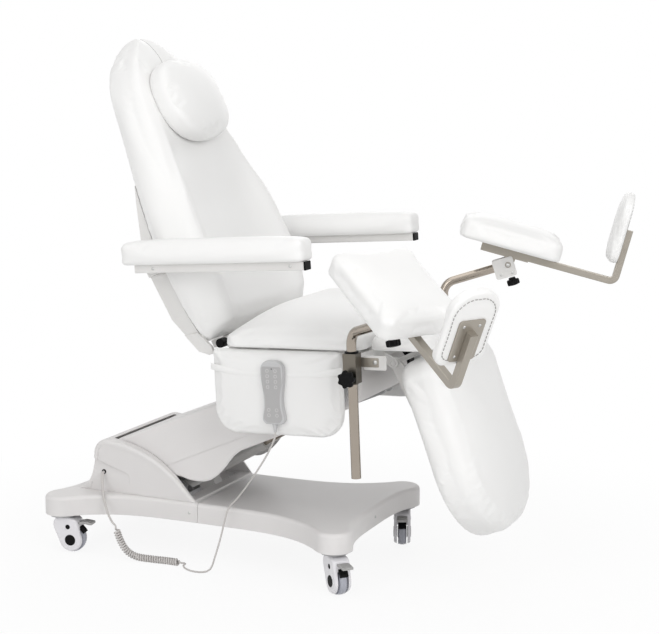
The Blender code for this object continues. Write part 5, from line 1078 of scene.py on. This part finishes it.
def welt(side):
    """The sewn band across an apron."""
    rings = []
    for n in range(41):
        share = n / 40.0
        x = -0.271 + 0.377 * share
        sag = 1.0 - (2.0 * share - 1.0) ** 2
        z = -0.0045 - 0.018 * sag
        bulge = 0.0085 * (1.0 - (2.0 * share - 1.0) ** 6)
        taper = min(1.0, 12.0 * min(share, 1.0 - share) + 0.35)
        ring = []
        for k in range(16):
            turn = 2.0 * math.pi * k / 16.0
            ring.append((x, side * (0.2905 + bulge + 0.0036 * taper * math.cos(turn)),
                         z + 0.0092 * math.sin(turn)))
        rings.append(ring)
    return skin(rings)


for hand, side in (("right", -1.0), ("left", 1.0)):
    stand = Matrix(((1, 0, 0, 0), (0, 0, side, side * APRON_INNER), (0, 1, 0, 0), (0, 0, 0, 1)))
    padding(f"apron_{hand}_pad", apron_form, "seat", f"apron_{hand}", SEAT @ stand)
    band = piece(f"apron_{hand}_welt", welt(side), leather, "seat", place=SEAT)


# Backrest: a welded frame, a light grey moulded shell behind, and a bolstered leatherette cushion on it.
# The cushion narrows to the head, rolls up into a bolster on each side and has a seam above the pillow.
soften("back_frame", paint, 0.0012)
soften("back_shell", paint, 0.003)
BACK = frame_at(SEAT, (-0.266, 0.0, 0.048), 24.7)
BACK_WIDTHS = ((0.00, 0.226), (0.05, 0.266), (0.15, 0.292), (0.30, 0.292), (0.45, 0.261), (0.60, 0.218),
               (0.74, 0.177), (0.81, 0.128), (0.858, 0.074), (0.888, 0.030))
BACK_FACES = ((0.05, 0.030), (0.20, 0.032), (0.36, 0.038), (0.52, 0.058), (0.64, 0.064), (0.888, 0.060))
BACK_BOLSTERS = ((0.05, 0.030), (0.20, 0.046), (0.36, 0.042), (0.52, 0.014), (0.64, 0.002), (0.888, 0.0))
BACK_PLUMP = ((0.0, 0.40), (0.010, 0.66), (0.030, 0.88), (0.070, 1.0), (0.727, 1.0), (0.789, 0.98),
              (0.835, 0.86), (0.859, 0.66), (0.871, 0.38))
BACK_FOOT = 0.018
BACK_REAR = -0.040
CROWN_U = 0.700


def reading(table, u, eased=True):
    """A value of a short table of stations, eased between them."""
    for (low, first), (high, second) in zip(table, table[1:]):
        if u <= high:
            share = min(max((u - low) / (high - low), 0.0), 1.0)
            share = share * share * (3.0 - 2.0 * share) if eased else share
            return first + (second - first) * share
    return table[-1][1]


wide = laid([(u, half, 0.0) for u, half in BACK_WIDTHS], 0.004)
BACK_WIDE = [(p.x, p.y) for p in wide]


def rounded_loop(points, steps):
    """A smooth closed curve through points."""
    loop = []
    count = len(points)
    for n in range(count):
        a, b, c, d = (Vector(points[(n + k - 1) % count]) for k in range(4))
        for k in range(steps):
            loop.append(smooth(a, b, c, d, k / steps))
    return loop


def back_section(up, slim):
    """The cushion cut across: flat rear, full sides, two bolsters and a hollow between."""
    u = BACK_FOOT + up
    half = reading(BACK_WIDE, u, False) - slim
    face = reading(BACK_FACES, u) - slim
    roll = reading(BACK_BOLSTERS, u)
    plump = reading(BACK_PLUMP, up)
    profile = ((0.0, face - 0.002), (0.42, face + 0.02 * roll), (0.62, face + 0.40 * roll),
               (0.77, face + roll), (0.875, face + 0.88 * roll + 0.002),
               (0.945, face + 0.42 * roll - 0.004), (0.990, face - 0.020), (1.0, face - 0.042),
               (0.975, BACK_REAR + 0.008), (0.94, BACK_REAR), (0.40, BACK_REAR))
    still = BACK_REAR if u < CROWN_U else (face + BACK_REAR) / 2.0
    right = [(p * half, still + (v - still) * plump) for p, v in profile]
    loop = rounded_loop(right + [(-y, v) for y, v in reversed(right[1:])], 5)
    return [(p.y, p.x, u) for p in loop]


BACK_LONG = 0.871
back_stations = [BACK_LONG * (1.0 - math.cos(math.pi * n / 56.0)) / 2.0 for n in range(57)]
back_form = stuffed("back_form", skin([back_section(up, SLIM) for up in back_stations]), 0.006, 0.006,
                    lambda p: p.x < BACK_REAR + 0.004)
padding("back_pad", back_form, "back", "back_cushion", BACK)


def draped(mesh, points, way, lift):
    """Points dropped onto a mesh along a way, and lifted off it a little."""
    tree = BVHTree.FromPolygons([v.co for v in mesh.vertices], [p.vertices[:] for p in mesh.polygons])
    found = []
    for p in points:
        spot, normal, face, away = tree.ray_cast(Vector(p), Vector(way))
        if spot is not None:
            found.append(spot + normal * lift)
    return found


def tube(path, radius, sides=8):
    """A thin round thread along a path, with closed ends."""
    rings = []
    aside = (path[1] - path[0]).orthogonal().normalized()
    for n, p in enumerate(path):
        onward = (path[min(n + 1, len(path) - 1)] - path[max(n - 1, 0)]).normalized()
        aside = (aside - onward * aside.dot(onward)).normalized()
        upward = onward.cross(aside)
        rings.append([tuple(p + radius * (math.cos(t) * aside + math.sin(t) * upward))
                      for t in (2.0 * math.pi * k / sides for k in range(sides))])
    return skin(rings)


# Painted shade: the crown seam is a real seam line, and its thin dark tube stands in for the shade in the
# seam's groove.
seam_shade = coat("seam_groove_painted_shade", "white_leatherette", (0.24, 0.235, 0.225), (0.38, 0.37, 0.36), (2000.0, 2.0), 0.7)
crown_line = draped(back_form, [(0.30, 0.0, 0.77 + 0.004 * n) for n in range(30)], (-1.0, 0.0, 0.0), -0.0001)
piece("back_crown_seam", tube(crown_line, 0.0007), seam_shade, "back", place=BACK)


# Hinge covers: short black sleeves over the back hinge's ends, between the shell's tail and the seat.
# Moulded plastic, round about the hinge's own axis.
for hand, side in (("right", -1.0), ("left", 1.0)):
    profile = ((0.0, 0.2160), (0.0105, 0.2160), (0.0125, 0.2180), (0.0125, 0.2450), (0.0110, 0.2468),
               (0.0, 0.2468))
    sleeve = turned([(r, side * out) for r, out in profile], "y", (-0.266, 0.048), 32)
    piece(f"hinge_{hand}_sleeve", sleeve, black, "seat", place=SEAT)


# Headrest: a plump oval pillow that slides along the back on a strap.
# Leatherette over soft foam, with its seam hidden against the backrest.
PILLOW_U = 0.662
pillow_outline = [(0.121 * math.copysign(abs(math.cos(t)) ** 0.8, math.cos(t)),
                   0.152 * math.copysign(abs(math.sin(t)) ** 0.8, math.sin(t)))
                  for t in (math.pi * n / 48.0 for n in range(96))]
pillow_shape = pad((pillow_outline, Vector((0.0, 0.0))), 0.064, 0.028, 0.018, 0.0, SLIM)
pillow_form = stuffed("pillow_form", pillow_shape, 0.005, 0.006, on_board)
pillow_stand = Matrix(((0, 0, 1, 0.0662), (0, 1, 0, 0), (1, 0, 0, PILLOW_U), (0, 0, 0, 1)))
padding("pillow", pillow_form, "headrest", "headrest_pillow", BACK @ pillow_stand)


# Armrests: white painted tubes on pivots in the backrest's ears, with black end plugs and long padded tops.
# Two screw heads show on the outer side of each tube.
ARMREST = frame_at(BACK, (-0.012, 0.0, 0.240), -23.2)
rest_shape = pad(pad_plan(-0.088, 0.441, 0.042, 0.020, 0.001), 0.058, 0.015, 0.004, 0.001, SLIM)
rest_form = stuffed("rest_form", rest_shape, 0.005, 0.004, on_board)
REST_Y = 0.365
for hand, side in (("right", -1.0), ("left", 1.0)):
    soften(f"armrest_{hand}_rail", paint, 0.002)
    padding(f"armrest_{hand}_top", rest_form, f"armrest_{hand}", f"armrest_{hand}_pad",
            ARMREST @ Matrix.Translation((0.0, side * REST_Y, 0.0113)))
    plug = bar((0.4322, side * REST_Y - 0.0154, -0.0114), (0.4372, side * REST_Y + 0.0154, 0.0108), 0.0015)
    piece(f"armrest_{hand}_plug", plug, black, f"armrest_{hand}", place=ARMREST)
    heads = [((x, side * 0.3803, 0.0), (0.0, side, 0.0)) for x in (0.395, 0.0)]
    screws(f"armrest_{hand}_bolt", heads, 0.0042, f"armrest_{hand}", ARMREST)


# Leg rest: a painted hinged frame under a long crowned pad with a round foot end.
# The pad's cover is gathered under its edge.
soften("leg_rest_frame", paint, 0.0016)
LEG = frame_at(SEAT, (0.180, 0.0, -0.010), -72.0)
leg_plan = pad_plan(0.004, 0.517, 0.232, 0.050, 0.004, 0.90 * 0.232)
leg_form = stuffed("leg_form", pad(leg_plan, 0.104, 0.044, 0.032, 0.002, SLIM), 0.006, 0.006, on_board)
padding("leg_rest_pad", leg_form, "leg_rest", "leg_rest_cushion",
        LEG @ Matrix.Translation((0.0, 0.0, 0.0443)))


# Leg supports: bent stainless posts in bushed sockets, with star knobs, tilting brackets and knee pads.
# The foot bar is square tube bent up at its end, with a screwed plate that carries the foot pad.
def swept(path, section):
    """A section carried along a path in the XZ plane; the section is (sideways, outward) pairs."""
    points = [Vector((p, 0.0, q)) for p, q in path]
    rings = []
    for n, p in enumerate(points):
        before = (p - points[max(n - 1, 0)])
        after = (points[min(n + 1, len(points) - 1)] - p)
        onward = (before.normalized() + after.normalized()).normalized()
        out = Vector((0.0, 1.0, 0.0)).cross(onward) * -1.0
        rings.append([tuple(p + Vector((0.0, s, 0.0)) + out * t) for s, t in section])
    return skin(rings)


def knob(axis, centre, face, outward, radius):
    """A star knob: seven lobes, a domed face and a hub towards its stud."""
    rim = []
    for n in range(84):
        turn = 2.0 * math.pi * n / 84.0
        lobe = radius * (0.90 + 0.10 * math.cos(7.0 * turn))
        rim.append((centre[0] + lobe * math.cos(turn), centre[1] + lobe * math.sin(turn)))
    inner = face + outward * 0.012
    outer = inner + outward * 0.016
    hub = ((0.0, 0.002), (0.011, 0.002), (0.009, -0.006), (0.0, -0.006))
    hub = turned([(r, inner + outward * out) for r, out in hub], axis, centre, 32)
    dome = ((0.0, -0.004), (0.0125, -0.003), (0.0125, -0.0002), (0.0100, 0.0006), (0.0, 0.0012))
    dome = turned([(r, outer + outward * out) for r, out in dome], axis, centre, 32)
    return joined(slab(rim, axis, inner, outer, 0.0035, 4), hub, dome)


def round_corners(low, high, radius, steps):
    """A box's edge with round corners; low and high are the centres of two opposite corners."""
    edge = []
    for n, at in enumerate((high, (low[0], high[1]), low, (high[0], low[1]))):
        edge += arc(at, radius, 90.0 * n, 90.0 * n + 90.0, steps)
    return edge


POST_R = 0.0125
round_post = [(POST_R * math.cos(math.pi * n / 14.0), POST_R * math.sin(math.pi * n / 14.0))
              for n in range(28)]
SQUARE = 0.010
SQUARE_R = 0.0024
flat = SQUARE - SQUARE_R
square_bar = round_corners((-flat, -flat), (flat, flat), SQUARE_R, 4)
knee_shape = pad(pad_plan(-0.1585, 0.1345, 0.1165, 0.030, 0.002), 0.058, 0.017, 0.011, 0.001, SLIM)
knee_form = stuffed("knee_form", knee_shape, 0.005, 0.005, on_board)
foot_plan = pad_plan(0.051, 0.256, 0.068, 0.030, 0.001, 0.88 * 0.068)
foot_form = stuffed("foot_form", pad(foot_plan, 0.028, 0.011, 0.004, 0.001, SLIM), 0.004, 0.004, on_board)
LINE_Z = 0.033
POST_X = 0.1525
POST_Y = 0.330
KNOB_AT = (POST_X, -0.010)
KNOB_FACE = 0.3475
RISE = 15.0
BEND_R = 0.040
clamp_edge = round_corners((0.1780, 0.0080), (0.2300, 0.0360), 0.004, 5)
clamp_window = round_corners((0.1600, 0.0140), (0.2120, 0.0320), 0.003, 5)
plate_edge = round_corners((-0.026, LINE_Z + 0.077), (0.026, LINE_Z + 0.171), 0.009, 6)
for hand, side, bend, spread, droop, reach in (("right", -1.0, 0.100, 35.6, 30.8, 0.291),
                                               ("left", 1.0, 0.1415, 19.0, 17.3, 0.301)):
    post = frame_at(SEAT, (POST_X, side * POST_Y, 0.0), 0.0, side * spread)
    rise = math.radians(RISE)
    setback = BEND_R * math.tan(math.radians((90.0 - RISE) / 2.0))
    line = [(0.0, -0.269)] + arc((BEND_R, bend - setback), BEND_R, 180.0, 90.0 + RISE, 16)
    line += [(0.170 * math.cos(rise), bend + 0.170 * math.sin(rise))]
    piece(f"post_{hand}_tube", swept(line, round_post), polished, f"post_{hand}", f"post_{hand}", place=post)
    soften(f"post_{hand}_bush", black, 0.0006)
    star = knob("y", KNOB_AT, side * KNOB_FACE, side, 0.023)
    piece(f"post_{hand}_star", star, black, f"post_knob_{hand}", f"post_{hand}_knob", place=SEAT)
    stud = ((0.0, 0.0003), (0.0090, 0.0003), (0.0090, 0.0026), (0.0062, 0.0030), (0.0062, 0.0062),
            (0.0, 0.0062))
    collar = turned([(r, side * KNOB_FACE + side * out) for r, out in stud], "y", KNOB_AT, 28)
    piece(f"post_{hand}_stud", collar, zinc, f"post_knob_{hand}", place=SEAT)
    cheek = carved([slab(clamp_edge, "y", side * 0.3000, side * 0.3060, 0.0010, 2)],
                   [slab(clamp_window, "y", side * 0.3020, side * 0.3100)])
    piece(f"clamp_{hand}_cheek", cheek, paint, "seat", place=SEAT)
    back_plate = slab(clamp_window, "y", side * 0.3018, side * 0.3024)
    piece(f"clamp_{hand}_slide", back_plate, bright, "seat", place=SEAT)
    screws(f"clamp_{hand}_screw", [((0.2030, side * 0.3024, 0.0230), (0.0, side, 0.0))], 0.0062, "seat",
           SEAT)
    bracket = frame_at(post, (0.19 * math.cos(rise), 0.0, bend + 0.19 * math.sin(rise)), RISE)
    soften(f"tilt_bracket_{hand}", paint, 0.001)
    spots = []
    for s in (-1.0, 1.0):
        spots += [((-0.026, s * 0.0168, -0.022), (0.0, s, 0.0)),
                  ((0.006, s * 0.0168, -0.024), (0.0, s, 0.0))]
    screws(f"bracket_{hand}_bolts", spots, 0.0046, f"post_{hand}", bracket)
    pin_ends = [((0.0, s * 0.0171, 0.0), (0.0, s, 0.0)) for s in (-1.0, 1.0)]
    screws(f"knee_{hand}_pin_heads", pin_ends, 0.0056, f"knee_{hand}", bracket)
    star = knob("z", (0.0, 0.0), -0.033, -1.0, 0.0184)
    piece(f"tilt_{hand}_star", star, black, f"tilt_knob_{hand}", f"tilt_knob_{hand}", place=bracket)
    knee = frame_at(bracket, (0.0, 0.0, 0.0), -droop - RISE)
    soften(f"pad_rail_{hand}", bright, 0.001)
    padding(f"knee_{hand}_rest", knee_form, f"knee_{hand}", f"knee_pad_{hand}",
            knee @ Matrix.Translation((0.0, 0.0, 0.0508)))
    bar_line = [(-0.060, LINE_Z)] + arc((reach - 0.018, LINE_Z + 0.018), 0.018, -90.0, 0.0, 12)
    bar_line += [(reach, LINE_Z + 0.151)]
    foot_plate = slab(plate_edge, "x", reach - 0.013, reach - 0.0095, 0.0006, 2)
    piece(f"foot_{hand}_bar", joined(swept(bar_line, square_bar), foot_plate), bright, f"foot_{hand}",
          f"foot_bar_{hand}", place=knee)
    corners = [((reach - 0.0095, s * 0.0205, LINE_Z + up), (1.0, 0.0, 0.0))
               for s in (-1.0, 1.0) for up in (0.082, 0.164)]
    screws(f"foot_{hand}_screws", corners, 0.0040, f"foot_{hand}", knee)
    stand = Matrix(((0, 0, -1, reach - 0.0133), (0, 1, 0, 0), (1, 0, 0, LINE_Z), (0, 0, 0, 1)))
    padding(f"foot_{hand}_rest", foot_form, f"foot_{hand}", f"foot_pad_{hand}", knee @ stand)
    # The hem's stitches are dark as painted shade of their holes.
    hem = [knee @ stand @ Vector((0.1535 + 0.80 * (p - 0.1535), 0.80 * q, -0.0004))
           for p, q in foot_plan[0]]
    stitched(f"foot_{hand}_hem", hem, 0.0082, 0.0104, f"foot_{hand}")


# Handset: a light grey two-part moulding with a darker membrane face, round keys and a tapered cord relief.
# It hangs on the right apron by its hook, and its cord leaves from the lower end.
case = coat("handset_case", "handset_grey", (0.50, 0.50, 0.505), (0.56, 0.56, 0.565), (1500.0, 2.0),
            (0.36, 0.14), raised=(0.12, 0.0002))
face = coat("handset_membrane", "handset_grey", (0.39, 0.385, 0.385), (0.44, 0.435, 0.435), (900.0, 2.0),
            (0.42, 0.14))

HANDSET_TOP = 0.020


def handset_outline(inset, drop, round_top):
    """The handset's front: round shoulders, a waist and a wider foot; drop lowers its top."""
    half = 0.032 - inset
    waist = 0.026 - inset
    top = HANDSET_TOP - drop
    foot = HANDSET_FOOT + inset
    right = [(half, 0.0, top - round_top), (half, 0.0, top - 0.045), (waist, 0.0, HANDSET_FOOT + 0.075),
             (waist, 0.0, HANDSET_FOOT + 0.045), (half - 0.001, 0.0, foot + 0.012),
             (half - 0.010, 0.0, foot)]
    line = [(p.x, p.z) for p in laid(right, 0.006)]
    loop = line + [(-x, z) for x, z in reversed(line)]
    for s, start, stop in ((-1.0, 175.0, 90.0), (1.0, 90.0, 5.0)):
        loop += arc((s * (half - round_top), top - round_top), round_top, start, stop, 8)
    return [(HANDSET_X + x, z) for x, z in loop]


outer_y = HANDSET_BACK - HANDSET_T
shell = slab(handset_outline(0.0, 0.0, 0.024), "y", outer_y, HANDSET_BACK, 0.004, 4)
ribs = ((0.0, 0.004), (0.0070, 0.004), (0.0070, -0.003), (0.0056, -0.004), (0.0064, -0.006),
        (0.0052, -0.008), (0.0058, -0.010), (0.0046, -0.012), (0.0052, -0.014), (0.0042, -0.016),
        (0.0040, 0.0004 - RELIEF_L), (0.0, 0.0004 - RELIEF_L))
boot = turned([(r, HANDSET_FOOT + up) for r, up in ribs], "z", (HANDSET_X, HANDSET_BACK - HANDSET_T / 2.0),
              24)
piece("handset_case", joined(shell, boot), case, "handset", "handset", place=SEAT)
membrane = slab(handset_outline(0.0045, 0.015, 0.005), "y", outer_y - 0.0004, outer_y + 0.0008, 0.0002, 2)
piece("handset_membrane", membrane, face, "handset", place=SEAT)
key_skin = coat("handset_key_skin", "handset_grey", (0.56, 0.555, 0.55), (0.62, 0.615, 0.61), (900.0, 2.0),
                0.5)
key_ring = ((0.72, -0.1), (1.0, -0.1), (1.0, 0.06), (0.86, 0.10), (0.72, 0.06), (0.72, -0.1))
key = stock("handset_key", turned(key_ring, "z", (0.0, 0.0), 20))
key_spots = [Vector((HANDSET_X + s * 0.0115, outer_y - 0.0004, z)) for s in (-1.0, 1.0)
             for z in (-0.006, -0.020, -0.034, -0.048, -0.108, -0.122)]
repeated("handset_keys", [SEAT @ p for p in key_spots], [], SCREWS,
         {"Screw": key, "Size": 0.0046, "Finish": key_skin}, "handset",
         [SEAT.to_3x3() @ Vector((0.0, -1.0, 0.0)) for p in key_spots])
lamp_eye = turned(((0.0, outer_y + 0.0006), (0.0016, outer_y + 0.0006), (0.0016, outer_y - 0.0007),
                   (0.0, outer_y - 0.0010)), "y", (HANDSET_X + 0.0012, -0.001), 16)
piece("handset_lamp", lamp_eye, black, "handset", place=SEAT)
